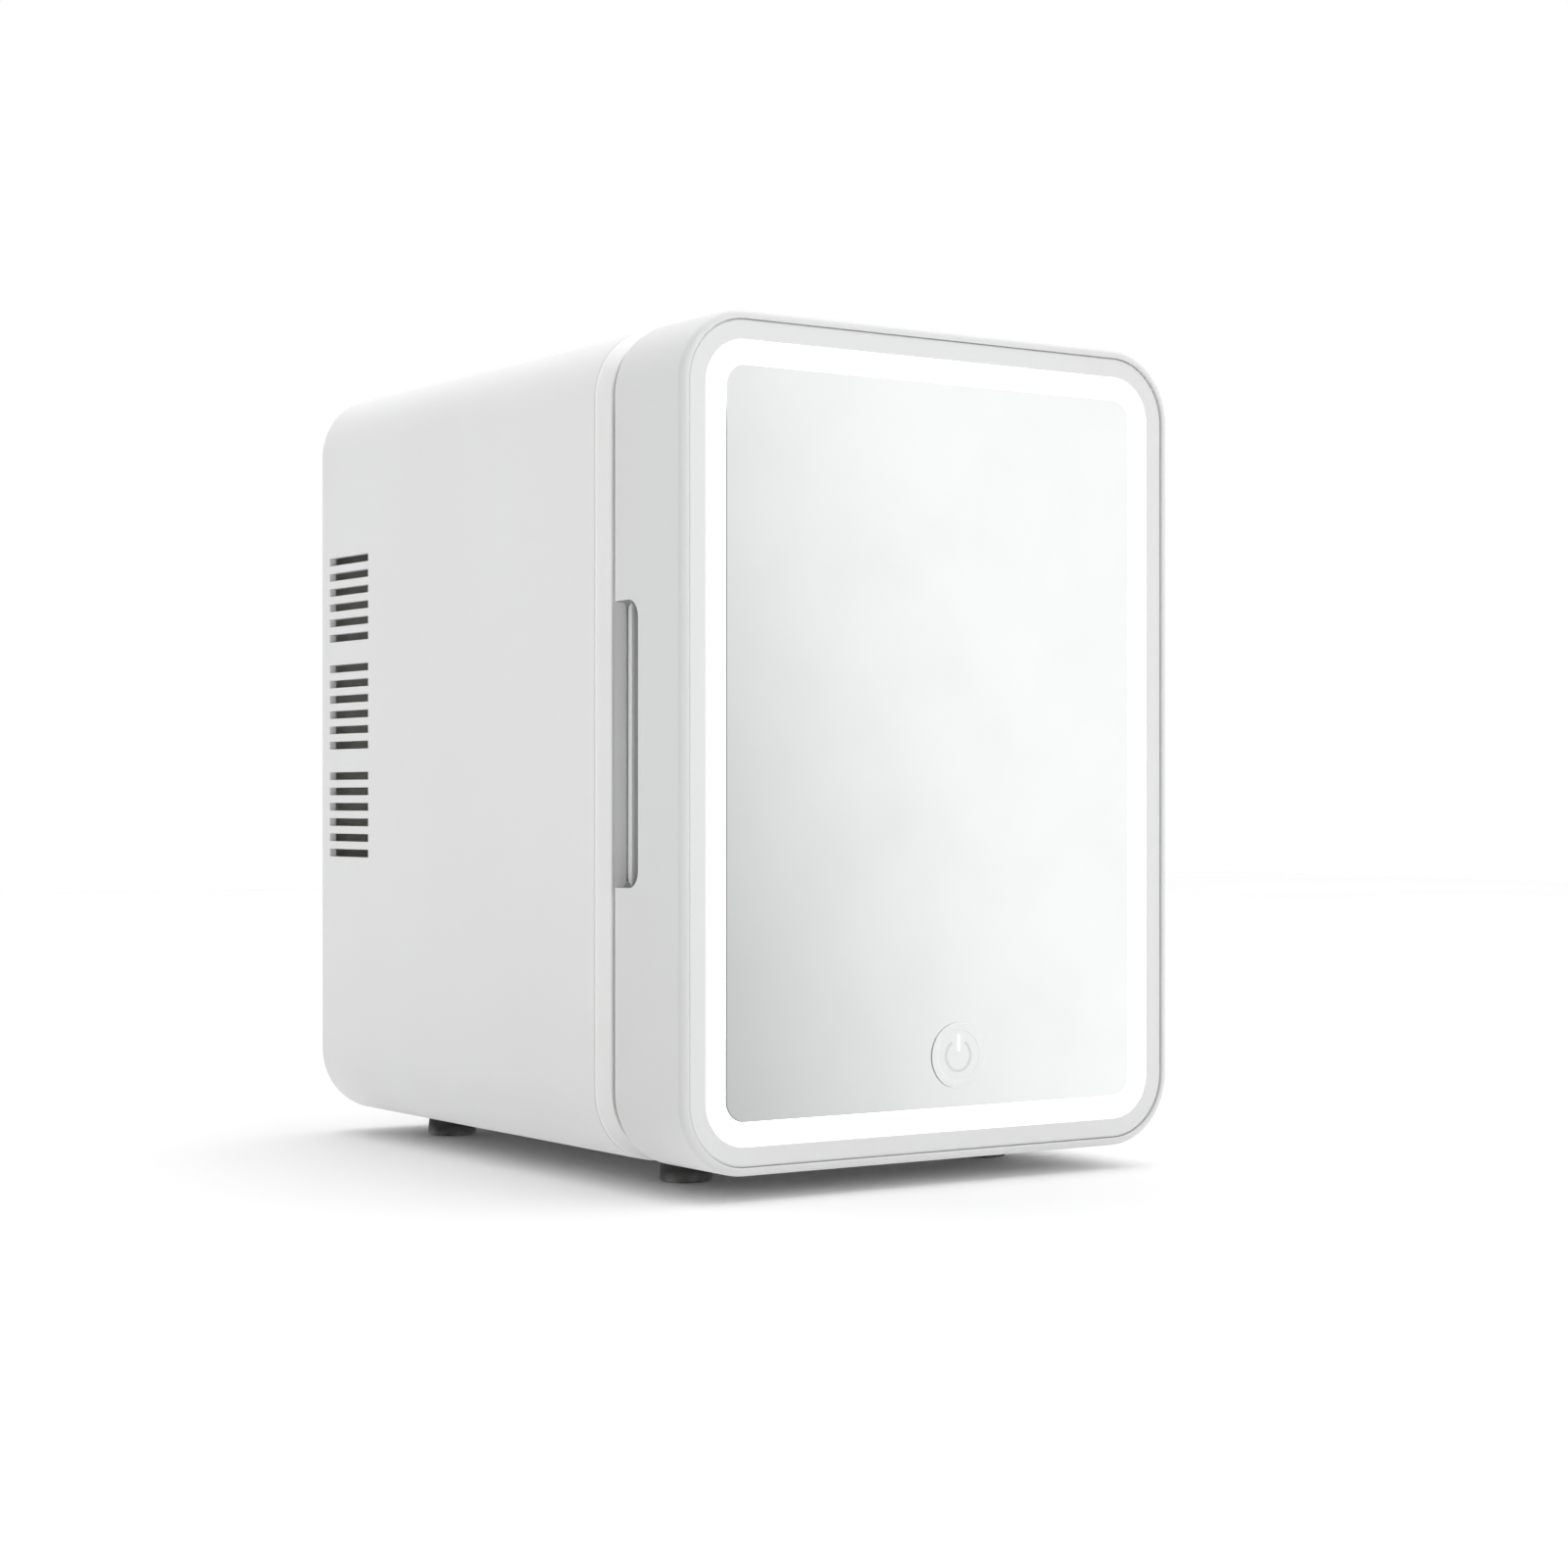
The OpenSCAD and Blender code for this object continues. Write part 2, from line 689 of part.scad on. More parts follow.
// Circuit board on four spacers
module board(x, z, s) {
    leg_x = [x[0] + board_hole_inset, x[1] - board_hole_inset];
    leg_z = [z[0] + board_hole_inset, z[1] - board_hole_inset];
    difference() {
        block(x, [s, s + board_t], z);
        for (bx = leg_x, bz = leg_z) bar(bx, bz, board_hole_r, s - 1, s + board_t + 1);
    }
    for (bx = leg_x, bz = leg_z) difference() {
        bar(bx, bz, board_leg_r, foam_s1 + eps, s);
        bar(bx, bz, board_hole_r, foam_s1, s + 1);
    }
}

module power_board() {
    color(board_green) board([-60, 60], [18, 78], board_s);
}

module transformer() {
    color([0.85, 0.7, 0.25]) block([-22, 8], [board_s + board_t, 211], [26, 52]);
}

module capacitors() {
    color([0.2, 0.22, 0.3]) for (p = [[-44, 34, 6], [20, 34, 5], [34, 34, 5], [22, 60, 4], [-40, 62, 4]])
        bar(p[0], p[1], p[2], board_s + board_t, 209);
}

module control_board() {
    color(board_green) board([22, 64], [198, 224], board_s);
    color(dark) block([36, 48], [board_s + board_t, board_s + 3.4], [206, 218]);
}

// Wire from the power board up to the control board, with a branch to the hot fan
module riser_wire(x, branch_z) {
    translate([x, st(wire_s), wire_low_z]) cylinder(r = wire_r, h = wire_high_z - wire_low_z);
    for (z = [wire_low_z, wire_high_z]) {
        translate([x, st(wire_s), z]) sphere(r = wire_r);
        bar(x, z, wire_r, board_s + board_t, wire_s);
    }
    bar(x, branch_z, wire_r, wire_s, branch_s);
    translate([x, st(branch_s), branch_z]) sphere(r = wire_r);
    translate([hot_fan / 2, st(branch_s), branch_z]) rotate([0, 90, 0])
        cylinder(r = wire_r, h = x - hot_fan / 2);
}

module supply_wires() { color([0.75, 0.1, 0.1]) riser_wire(51, 120); }
module return_wires() { color([0.08, 0.08, 0.08]) riser_wire(54, 116); }

module foot(x, s) {
    color([0.25, 0.25, 0.26]) translate([x, st(s), 0]) difference() {
        union() {
            cylinder(r = foot_r, h = foot_h - 1);
            translate([0, 0, foot_h - 1.1]) cylinder(r = foot_r - 1, h = 1.1);
        }
        translate([0, 0, -1]) cylinder(r = foot_recess_r, h = 4.2);
        cylinder(r = 1.6, h = foot_h + 1);
    }
}

module foot_1() { foot(-foot_x, foot_s[0]); }
module foot_2() { foot(foot_x, foot_s[0]); }
module foot_3() { foot(-foot_x, foot_s[1]); }
module foot_4() { foot(foot_x, foot_s[1]); }

module foot_screws() {
    color(metal) for (x = [-foot_x, foot_x], s = foot_s) translate([x, st(s), 0]) {
        translate([0, 0, 1.4]) cylinder(r = 3.2, h = 1.8);
        translate([0, 0, 3]) cylinder(r = foot_screw_r, h = 11);
    }
}

// Shelf that slides on the liner's ledges

module shelf() {
    slot_count = 11;
    slot_step = 11.4;
    shelf_z = ledge_z + fit;
    mid_s = (shelf_s0 + shelf_s1) / 2;
    color([0.9, 0.94, 0.96]) {
        translate([0, st(mid_s), shelf_z]) linear_extrude(shelf_t) difference() {
            rounded_rect(shelf_w, shelf_s1 - shelf_s0, 4);
            for (i = [0 : slot_count - 1], row = [-1, 1])
                translate([(i - (slot_count - 1) / 2) * slot_step, row * 19])
                    rounded_rect(7, 31, 3.4);
        }
        block([-shelf_w / 2 + 6, shelf_w / 2 - 6], [shelf_s0, shelf_s0 + 2],
              [shelf_z + shelf_t - eps, shelf_z + shelf_t + 4]);
    }
}

// Door

// Pocket of the finger notch: deepest at its front wall, open to the side and the rear
module finger_pocket() {
    edge_x = -width / 2;
    r = 5;
    intersection() {
        translate([0, 0, notch_z - notch_h]) linear_extrude(2 * notch_h)
            polygon([[edge_x - 2, st(notch_s)], [edge_x + notch_depth, st(notch_s)],
                     [edge_x + rim_inset - fit, st(door_t)], [edge_x + rim_inset - fit, st(door_t + 2)],
                     [edge_x - 2, st(door_t + 2)]]);
        translate([edge_x + notch_depth + 1, st(notch_s) - 1, notch_z]) rotate([0, -90, 0])
            linear_extrude(notch_depth + 4) translate([0, (door_t - notch_s) / 2 + r])
                rounded_rect(notch_h, door_t - notch_s + 2 * r + 2, r);
    }
}

// Pockets that clear the hinge brackets
module hinge_pockets() {
    for (z = hinge_z)
        block([hinge_x - hinge_room, width / 2 + 1], [hinge_s - hinge_room, door_t + 1],
              [z - barrel_h / 2 - hinge_gap, z + barrel_h / 2 + hinge_gap]);
}

module hinge_blocks(extra) {
    for (z = hinge_z)
        block([73 - extra, width / 2 - door_wall + eps], [partition_s - eps, panel_s0 - eps],
              [z - block_h / 2 - extra, z + block_h / 2 + extra]);
}

module notch_block(extra) {
    block([-width / 2 + door_wall - eps, -72 + extra], [partition_s - eps, panel_s0 - eps],
          [notch_z - notch_block_h / 2 - extra, notch_z + notch_block_h / 2 + extra]);
}

module door_shell() {
    color(light_grey) difference() {
        union() {
            difference() {
                casing(0, door_t, door_front_r, door_rear_r);
                run(-1, recess_s) outline(door_wall);
                run(recess_s - eps, channel_s) difference() {
                    outline(channel_inset);
                    outline(platform_inset);
                }
                run(partition_s, rim_s) outline(door_wall);
                run(rim_s - eps, door_t + 1) outline(rim_inset);
                run(recess_s + 2.4, partition_s + 1) outline(platform_inset + 2);
            }
            hinge_blocks(0);
            notch_block(0);
        }
        hinge_pockets();
        finger_pocket();
        for (z = hinge_z) translate([hinge_x, st(hinge_s), z - pin_l / 2]) cylinder(r = pin_r, h = pin_l);
        bar(touch_x, touch_z, touch_hole_r, 0, partition_s);
    }
}

module door_inner_panel() {
    peg_x = 57.5;
    color(white) {
        difference() {
            union() {
                run(panel_s0, door_t) outline(rim_inset + eps);
                run(door_t - eps, plug_s) rounded_rect(plug_w, plug_h, 10);
            }
            run(door_t, plug_s + 1) rounded_rect(plug_w - 2 * plug_wall, plug_h - 2 * plug_wall, 7.5);
            hinge_pockets();
        }
        for (side = [-1, 1])
            block([side * (peg_x + 1.1) - 1.1, side * (peg_x + 1.1) + 1.1], [43, 47], [92.5, 96]);
    }
}

module door_foam() {
    color([0.96, 0.95, 0.88]) difference() {
        union() {
            run(recess_s + 2.6, partition_s + 0.4) outline(platform_inset + 2.2);
            run(partition_s + 0.2, rim_s - fit) outline(door_wall + fit);
            run(rim_s - 2 * fit, panel_s0 - eps) outline(rim_inset + fit);
        }
        hinge_blocks(fit);
        notch_block(fit);
        for (side = [-1, 1])
            block([magnet_x[0] - fit, magnet_x[1] + fit], [rim_s - fit, panel_s0],
                  [mid_z + side * magnet_z - magnet_half_h - fit,
                   mid_z + side * magnet_z + magnet_half_h + fit]);
    }
}

module door_gasket() {
    color([0.8, 0.8, 0.8]) run(door_t, door_t + gasket_t) difference() {
        rounded_rect(gasket_w, gasket_h, 17);
        rounded_rect(gasket_w - 2 * gasket_band, gasket_h - 2 * gasket_band, 10);
    }
}

module door_magnets() {
    color(metal) for (side = [-1, 1])
        block(magnet_x, [rim_s, panel_s0 - eps],
              [mid_z + side * magnet_z - magnet_half_h, mid_z + side * magnet_z + magnet_half_h]);
}

module bezel_frame() {
    color(light_grey) run(0.5, recess_s) difference() {
        outline(door_wall + fit);
        outline(ring_inset - eps);
    }
}

module light_diffuser() {
    color([1, 1, 1]) run(0.7, recess_s) difference() {
        outline(ring_inset);
        outline(ring_end);
    }
}

module mirror_glass() {
    color([0.8, 0.82, 0.83]) run(0.9, recess_s) outline(ring_end + eps);
}

module light_board() {
    color(white) run(channel_s - board_t, channel_s) difference() {
        outline(light_board_inset);
        outline(light_board_end);
    }
}

module light_chips() {
    along = 12;
    across = 9;
    inset = 11;
    chip = [2.8, 1, 2.8];
    s = channel_s - board_t - chip[1];
    color([0.98, 0.9, 0.5]) {
        for (side = [-1, 1], i = [0 : along - 1])
            translate([side * (width / 2 - inset) - chip[0] / 2, st(s),
                       mid_z + (i - (along - 1) / 2) * 17 - chip[2] / 2]) cube(chip);
        for (side = [-1, 1], i = [0 : across - 1])
            translate([(i - (across - 1) / 2) * 15 - chip[0] / 2, st(s),
                       mid_z + side * (body_h / 2 - inset) - chip[2] / 2]) cube(chip);
    }
}

module touch_button() {
    color([0.97, 0.97, 0.97]) bar(touch_x, touch_z, touch_r, 0.35, 0.9);
}

module touch_board() {
    color(board_green) bar(touch_x, touch_z, touch_hole_r - 0.5, recess_s, recess_s + board_t);
}

module hinge_pin(z) {
    color(metal) translate([hinge_x, st(hinge_s), z - pin_l / 2]) cylinder(r = pin_r, h = pin_l);
}

module upper_hinge_pin() { hinge_pin(hinge_z[0]); }
module lower_hinge_pin() { hinge_pin(hinge_z[1]); }

// Side view of the door bin, moved inwards by inset
module bin_side(inset) {
    top = inset > 0 ? 5 : 0;
    polygon([[st(bin_s0 + inset), bin_z0 + inset], [st(bin_s1 - inset), bin_z0 + inset],
             [st(bin_s1 - inset), bin_front_z + top], [st(46), bin_z1 + top],
             [st(bin_s0 + inset), bin_z1 + top]]);
}

module door_bin() {
    color([0.9, 0.94, 0.96]) {
        difference() {
            translate([-bin_w / 2, 0, 0]) rotate([90, 0, 90]) linear_extrude(bin_w) bin_side(0);
            translate([-bin_w / 2 + bin_wall, 0, 0]) rotate([90, 0, 90])
                linear_extrude(bin_w - 2 * bin_wall) bin_side(bin_wall);
        }
        for (side = [-1, 1]) {
            block([side * (bin_w / 2 + 1.1) - 1.15, side * (bin_w / 2 + 1.1) + 1.15], [40, 46], [96.2, 98]);
            block([side * (bin_w / 2 + 1.1) - 1.15, side * (bin_w / 2 + 1.1) + 1.15], [40, 42.6], [90, 98]);
        }
    }
}

cabinet_shell();
front_frame();
inner_liner();
foam_jacket();
upper_hinge_bracket();
lower_hinge_bracket();
bracket_screws();
strike_plates();
cold_sink();
cold_block();
peltier_module();
hot_sink();
clamp_screws();
cold_fan_frame();
cold_fan_rotor();
cold_fan_screws();
cold_fan_cover();
cover_screws();
hot_fan_frame();
hot_fan_rotor();
hot_fan_screws();
rear_cover();
rear_cover_screws();
ac_inlet();
ac_pins();
dc_inlet();
dc_pins();
switch_housing();
switch_knob();
power_board();
transformer();
capacitors();
control_board();
supply_wires();
return_wires();
foot_1();
foot_2();
foot_3();
foot_4();
foot_screws();
shelf();
door_shell();
door_inner_panel();
door_foam();
door_gasket();
door_magnets();
bezel_frame();
light_diffuser();
mirror_glass();
light_board();
light_chips();
touch_button();
touch_board();
upper_hinge_pin();
lower_hinge_pin();
door_bin();
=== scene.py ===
import math

import bmesh
import bpy
from mathutils import Matrix, Vector

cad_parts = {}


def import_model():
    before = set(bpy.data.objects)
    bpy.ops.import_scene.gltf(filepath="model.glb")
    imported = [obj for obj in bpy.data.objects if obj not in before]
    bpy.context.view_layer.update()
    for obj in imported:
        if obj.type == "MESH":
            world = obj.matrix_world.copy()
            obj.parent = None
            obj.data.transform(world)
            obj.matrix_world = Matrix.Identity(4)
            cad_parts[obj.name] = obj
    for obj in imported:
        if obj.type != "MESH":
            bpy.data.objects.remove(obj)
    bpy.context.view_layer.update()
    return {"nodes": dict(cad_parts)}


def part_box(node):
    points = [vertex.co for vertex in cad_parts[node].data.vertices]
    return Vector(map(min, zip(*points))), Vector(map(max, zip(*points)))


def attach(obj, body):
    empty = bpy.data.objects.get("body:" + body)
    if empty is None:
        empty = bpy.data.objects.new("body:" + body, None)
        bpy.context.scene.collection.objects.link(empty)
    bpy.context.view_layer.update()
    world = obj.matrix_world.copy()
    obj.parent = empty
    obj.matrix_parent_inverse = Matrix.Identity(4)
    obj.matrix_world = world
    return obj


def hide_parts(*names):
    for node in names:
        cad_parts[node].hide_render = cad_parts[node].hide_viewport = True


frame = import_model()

# Finished visual model of a mini fridge, built round the CAD model's pieces

MM = 0.001

# Driving places, from the frame
SHELL_LO, SHELL_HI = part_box("cabinet_shell")
FAN_LO, FAN_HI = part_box("hot_fan_rotor")
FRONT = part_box("door_shell")[0].y / MM        # station 0, the door's front face
MIDDLE_Z = (SHELL_LO.z + SHELL_HI.z) / 2 / MM
WIDTH = (SHELL_HI.x - SHELL_LO.x) / MM
HEIGHT = (SHELL_HI.z - SHELL_LO.z) / MM
COOLER_Z = (FAN_LO.z + FAN_HI.z) / 2 / MM     # height of the cooling unit and both fans
BASE_Z = MIDDLE_Z - HEIGHT / 2
CORNER_R = 21
CORNER_STEPS = 20
HINGE_X = WIDTH / 2 - 6
HINGE_S = 32.5
HINGE_Z = (MIDDLE_Z + 70, MIDDLE_Z - 70)
CORNERS = ((-1, -1), (-1, 1), (1, 1), (1, -1))

# Stations of the faces that several pieces share
MIRROR_BACK = 3.9        # back of the bezel, the light ring and the mirror
DOOR_END = 38.5
FRAME_S = 41             # front face of the frame round the cavity
RIM_S = 46.5             # the frame's glossy rim meets the casing
FLANGE_S = 43.5          # front face of the liner's flange
COVER_S = 154            # front face of the cold fan cover
LINER_END = 176
BOARD_S = 197.6          # rear face of the power board
CASE_END = 226
PANEL_S = 228            # outer face of the back panel

# Rounding of sharp edges
EDGE_STEPS = 2
SHARP = math.radians(38)


# Mesh building, in millimetres. A station is a depth back from the door's front face, and a section
# is a list of (inset, station) points, each corner given with the radius that rounds it.

def place(axis, u, v, w):
    """Point whose drawing is (u, v) and whose place along the axis is w."""
    if axis == "x":
        return Vector((w, FRONT + u, v))
    if axis == "y":
        return Vector((u, FRONT + w, v))
    return Vector((u, FRONT + v, w))


class Outline:
    """Rounded rectangle, drawn across an axis."""

    def __init__(self, width, height, radius, u=0.0, v=0.0, axis="y"):
        self.width, self.height, self.radius = width, height, radius
        self.u, self.v, self.axis = u, v, axis

    def ring(self, inset, w):
        """Points of the outline moved inwards by inset, at w along the axis."""
        radius = max(self.radius - inset, 0.2)
        half_u = self.width / 2 - inset - radius
        half_v = self.height / 2 - inset - radius
        points = []
        for quarter, (side_u, side_v) in enumerate(((1, 1), (-1, 1), (-1, -1), (1, -1))):
            for i in range(CORNER_STEPS + 1):
                angle = math.pi / 2 * (quarter + i / CORNER_STEPS)
                points.append(place(self.axis, self.u + side_u * half_u + radius * math.cos(angle),
                                    self.v + side_v * half_v + radius * math.sin(angle), w))
        return points


class Circle:
    """Circle about an axis; a section's first number is its radius."""

    def __init__(self, u, v, axis="y", steps=64):
        self.u, self.v, self.axis, self.steps = u, v, axis, steps

    def ring(self, radius, w):
        turns = [2 * math.pi * i / self.steps for i in range(self.steps)]
        return [place(self.axis, self.u + radius * math.cos(a), self.v + radius * math.sin(a), w)
                for a in turns]


def rounded(corners, closed=True, steps=5):
    """Points of a section given as (first, second, radius) corners, each rounded to its radius."""
    points = []
    for i, (first, second, radius) in enumerate(corners):
        here = Vector((first, second))
        if radius == 0 or (not closed and i in (0, len(corners) - 1)):
            points.append(here)
            continue
        before = (Vector(corners[i - 1][:2]) - here).normalized()
        after = (Vector(corners[(i + 1) % len(corners)][:2]) - here).normalized()
        half = before.angle(after) / 2
        centre = here + (before + after).normalized() * radius / math.sin(half)
        start = here + before * radius / math.tan(half) - centre
        end = here + after * radius / math.tan(half) - centre
        points += [centre + radius * start.slerp(end, k / steps) for k in range(steps + 1)]
    return points


def add_rings(bm, rings, closed=False):
    """Adds a skin over rings of points. Its two ends are flat faces, or if closed they meet."""
    rings = [[bm.verts.new(point) for point in ring] for ring in rings]
    pairs = list(zip(rings, rings[1:]))
    if closed:
        pairs.append((rings[-1], rings[0]))
    else:
        bm.faces.new(rings[0])
        bm.faces.new(rings[-1][::-1])
    for one, other in pairs:
        for i, vertex in enumerate(one):
            j = (i + 1) % len(one)
            bm.faces.new((vertex, one[j], other[j], other[i]))


def add_loft(bm, shape, section, closed=True):
    """Adds a section that runs round a shape. An open section is closed by flat faces at its two ends."""
    add_rings(bm, [shape.ring(*point) for point in section], closed)


def add_solid(bm, shape, start, end, edge=0.0, first=0.0):
    """Adds a shape pushed from start to end along its axis, with rounded rims.

    First is the inset of its sides, or for a circle its radius.
    """
    inward = -1 if isinstance(shape, Circle) else 1
    deep = first + inward * max(edge * 2, 0.01)
    corners = [(deep, start, 0), (first, start, edge), (first, end, edge), (deep, end, 0)]
    add_loft(bm, shape, rounded(corners, closed=False, steps=3), closed=False)


def add_box(bm, x, s, z):
    """Adds a box given by its ranges of x, station and height."""
    made = bmesh.ops.create_cube(bm, size=1)
    size = Vector((x[1] - x[0], s[1] - s[0], z[1] - z[0]))
    middle = place("y", (x[0] + x[1]) / 2, (z[0] + z[1]) / 2, (s[0] + s[1]) / 2)
    bmesh.ops.scale(bm, vec=size, verts=made["verts"])
    bmesh.ops.translate(bm, vec=middle, verts=made["verts"])


def add_rod(bm, u, v, radius, start, end, axis="y", steps=32, edge=0.0):
    """Adds a round bar along an axis."""
    add_solid(bm, Circle(u, v, axis, steps), start, end, edge, first=radius)


def add_prism(bm, points, start, end, axis="x"):
    """Adds a drawn outline pushed from start to end along an axis."""
    add_rings(bm, [[place(axis, u, v, w) for u, v in points] for w in (start, end)])


def new_object(name, bm):
    """Object of a mesh under construction, with its faces turned outwards."""
    bmesh.ops.recalc_face_normals(bm, faces=bm.faces)
    mesh = bpy.data.meshes.new(name)
    bm.to_mesh(mesh)
    bm.free()
    thing = bpy.data.objects.new(name, mesh)
    bpy.context.scene.collection.objects.link(thing)
    return thing


def combine(thing, bm, operation):
    """Cuts a mesh out of an object, or joins it on."""
    tool = new_object("tool", bm)
    modifier = thing.modifiers.new("combine", "BOOLEAN")
    modifier.object, modifier.operation, modifier.solver = tool, operation, "MANIFOLD"
    settle(thing)
    bpy.data.objects.remove(tool)


def settle(thing):
    """Turns an object's modifiers into its mesh."""
    graph = bpy.context.evaluated_depsgraph_get()
    mesh = bpy.data.meshes.new_from_object(thing.evaluated_get(graph))
    thing.modifiers.clear()
    thing.data = mesh


def soften(thing, edge):
    """Rounds an object's sharp edges and evens out its shading."""
    if edge:
        bevel = thing.modifiers.new("edges", "BEVEL")
        bevel.width, bevel.segments = edge * MM, EDGE_STEPS
        bevel.limit_method, bevel.angle_limit = "ANGLE", SHARP
        bevel.use_clamp_overlap = False
    thing.modifiers.new("shading", "WEIGHTED_NORMAL")
    thing.data.polygons.foreach_set("use_smooth", [True] * len(thing.data.polygons))


def finish_piece(thing, body, material, replaced=()):
    """Gives a piece its material and body, and hides the CAD nodes it stands for."""
    thing.data.materials.clear()
    thing.data.materials.append(material)
    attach(thing, body)
    if replaced:
        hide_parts(*replaced)
    return thing


def make(name, bm, body, material, replaced=(), cut=None, join=None, edge=0.2):
    """Finished piece from a mesh under construction, which is in millimetres up to the scaling here."""
    thing = new_object(name, bm)
    if join:
        combine(thing, join, "UNION")
    if cut:
        combine(thing, cut, "DIFFERENCE")
    thing.data.transform(Matrix.Scale(MM, 4))
    soften(thing, edge)
    return finish_piece(thing, body, material, replaced)


def dress(node, material, edge):
    """Keeps a CAD node, with softened edges and a finished material."""
    thing = frame["nodes"][node]
    weld = thing.modifiers.new("weld", "WELD")
    weld.merge_threshold = 0.001 * MM
    flats = thing.modifiers.new("flats", "DECIMATE")
    flats.decimate_type, flats.angle_limit = "DISSOLVE", math.radians(0.5)
    soften(thing, edge)
    for slot in thing.material_slots:
        slot.material = material


BODY = Outline(WIDTH, HEIGHT, CORNER_R, v=MIDDLE_Z)
CAVITY = Outline(138, 200, 10, v=MIDDLE_Z)


# Materials

class Finish:
    """Material under construction: a Principled shader with colour, roughness and relief from noise."""

    def __init__(self, name, **plain):
        self.material = bpy.data.materials.new(name)
        self.material.use_nodes = True
        self.tree = self.material.node_tree
        self.shader = self.tree.nodes["Principled BSDF"]
        self.place = self.tree.nodes.new("ShaderNodeTexCoord").outputs["Object"]
        for socket, value in plain.items():
            self.shader.inputs[socket.replace("_", " ")].default_value = value

    def noise(self, size, detail=3.0, stretch=(1, 1, 1), contrast=(0.35, 0.65)):
        """Cloudy pattern from 0 to 1 whose features are about size millimetres wide."""
        mapping = self.tree.nodes.new("ShaderNodeMapping")
        mapping.inputs["Scale"].default_value = stretch
        self.tree.links.new(self.place, mapping.inputs["Vector"])
        cloud = self.tree.nodes.new("ShaderNodeTexNoise")
        cloud.inputs["Scale"].default_value = 1 / (size * MM)
        cloud.inputs["Detail"].default_value = detail
        self.tree.links.new(mapping.outputs["Vector"], cloud.inputs["Vector"])
        return self.spread(cloud.outputs["Fac"], contrast, (0, 1))

    def cells(self, size, feature="F1"):
        """Pattern of cells about size millimetres wide: the distance from each cell's middle."""
        voronoi = self.tree.nodes.new("ShaderNodeTexVoronoi")
        voronoi.feature = feature
        voronoi.inputs["Scale"].default_value = 1 / (size * MM)
        self.tree.links.new(self.place, voronoi.inputs["Vector"])
        return voronoi.outputs["Distance"]

    def spread(self, value, before, after):
        """Value mapped from one range to another."""
        node = self.tree.nodes.new("ShaderNodeMapRange")
        self.tree.links.new(value, node.inputs["Value"])
        for socket, number in zip(("From Min", "From Max", "To Min", "To Max"), before + after):
            node.inputs[socket].default_value = number
        return node.outputs["Result"]

    def height(self, low, high):
        """Value that rises from 0 to 1 between two heights, in millimetres."""
        split = self.tree.nodes.new("ShaderNodeSeparateXYZ")
        self.tree.links.new(self.place, split.inputs["Vector"])
        return self.spread(split.outputs["Z"], (low * MM, high * MM), (0, 1))

    def times(self, one, other):
        node = self.tree.nodes.new("ShaderNodeMath")
        node.operation = "MULTIPLY"
        self.tree.links.new(one, node.inputs[0])
        self.tree.links.new(other, node.inputs[1])
        return node.outputs["Value"]

    def mixed(self, share, one, other):
        """Colour between one and other. Each is a colour or another node's output."""
        node = self.tree.nodes.new("ShaderNodeMix")
        node.data_type = "RGBA"
        self.tree.links.new(share, node.inputs["Factor"])
        for socket, value in ((node.inputs[6], one), (node.inputs[7], other)):
            if isinstance(value, bpy.types.NodeSocket):
                self.tree.links.new(value, socket)
            else:
                socket.default_value = (*value, 1)
        return node.outputs[2]

    def colour(self, value):
        self.tree.links.new(value, self.shader.inputs["Base Color"])

    def roughness(self, pattern, low, high):
        self.tree.links.new(self.spread(pattern, (0.0, 1.0), (low, high)), self.shader.inputs["Roughness"])

    def relief(self, *layers):
        """Bumps from (pattern, depth in millimetres, strength) layers, one on top of another."""
        below = None
        for pattern, depth, strength in layers:
            bump = self.tree.nodes.new("ShaderNodeBump")
            bump.inputs["Distance"].default_value = depth * MM
            bump.inputs["Strength"].default_value = strength
            self.tree.links.new(pattern, bump.inputs["Height"])
            if below:
                self.tree.links.new(below, bump.inputs["Normal"])
            below = bump.outputs["Normal"]
        self.tree.links.new(below, self.shader.inputs["Normal"])


def tinted(colour, factor, warm=0.0):
    """Colour made lighter or darker by a factor, and a little warmer."""
    red, green, blue = (channel * factor for channel in colour)
    return (red * (1 + warm), green, blue * (1 - warm))


def moulded_plastic(name, colour, rough, grain=0.5, depth=0.006, wear=0.03):
    """Injection-moulded plastic: spark-eroded grain, faint flow marks and handling smudges."""
    finish = Finish(name)
    flow = finish.noise(70, detail=2, stretch=(1, 1, 0.45))
    smudge = finish.noise(22, detail=3, contrast=(0.1, 0.95))
    speck = finish.noise(1.4, detail=2, contrast=(0.66, 0.82))
    base = finish.mixed(flow, tinted(colour, 1 - wear / 2, 0.004), tinted(colour, 1 + wear / 4))
    finish.colour(finish.mixed(speck, base, tinted(colour, 1 - wear * 1.2, 0.01)))
    finish.roughness(smudge, rough, rough + 0.07)
    finish.relief((finish.noise(grain, detail=2), depth, 0.5))
    return finish.material


def rubber(name, colour, mottle=0.15):
    """Matt rubber with a fine bloom and dusty patches near the floor."""
    finish = Finish(name, Specular_IOR_Level=0.3)
    bloom = finish.noise(3, detail=5)
    dust = finish.times(finish.noise(5, detail=4), finish.height(3.5, 0))
    base = finish.mixed(bloom, tinted(colour, 1 - mottle), tinted(colour, 1 + mottle))
    finish.colour(finish.mixed(dust, base, (0.42, 0.41, 0.39)))
    finish.roughness(bloom, 0.62, 0.8)
    finish.relief((finish.noise(0.35, detail=3), 0.02, 0.6))
    return finish.material


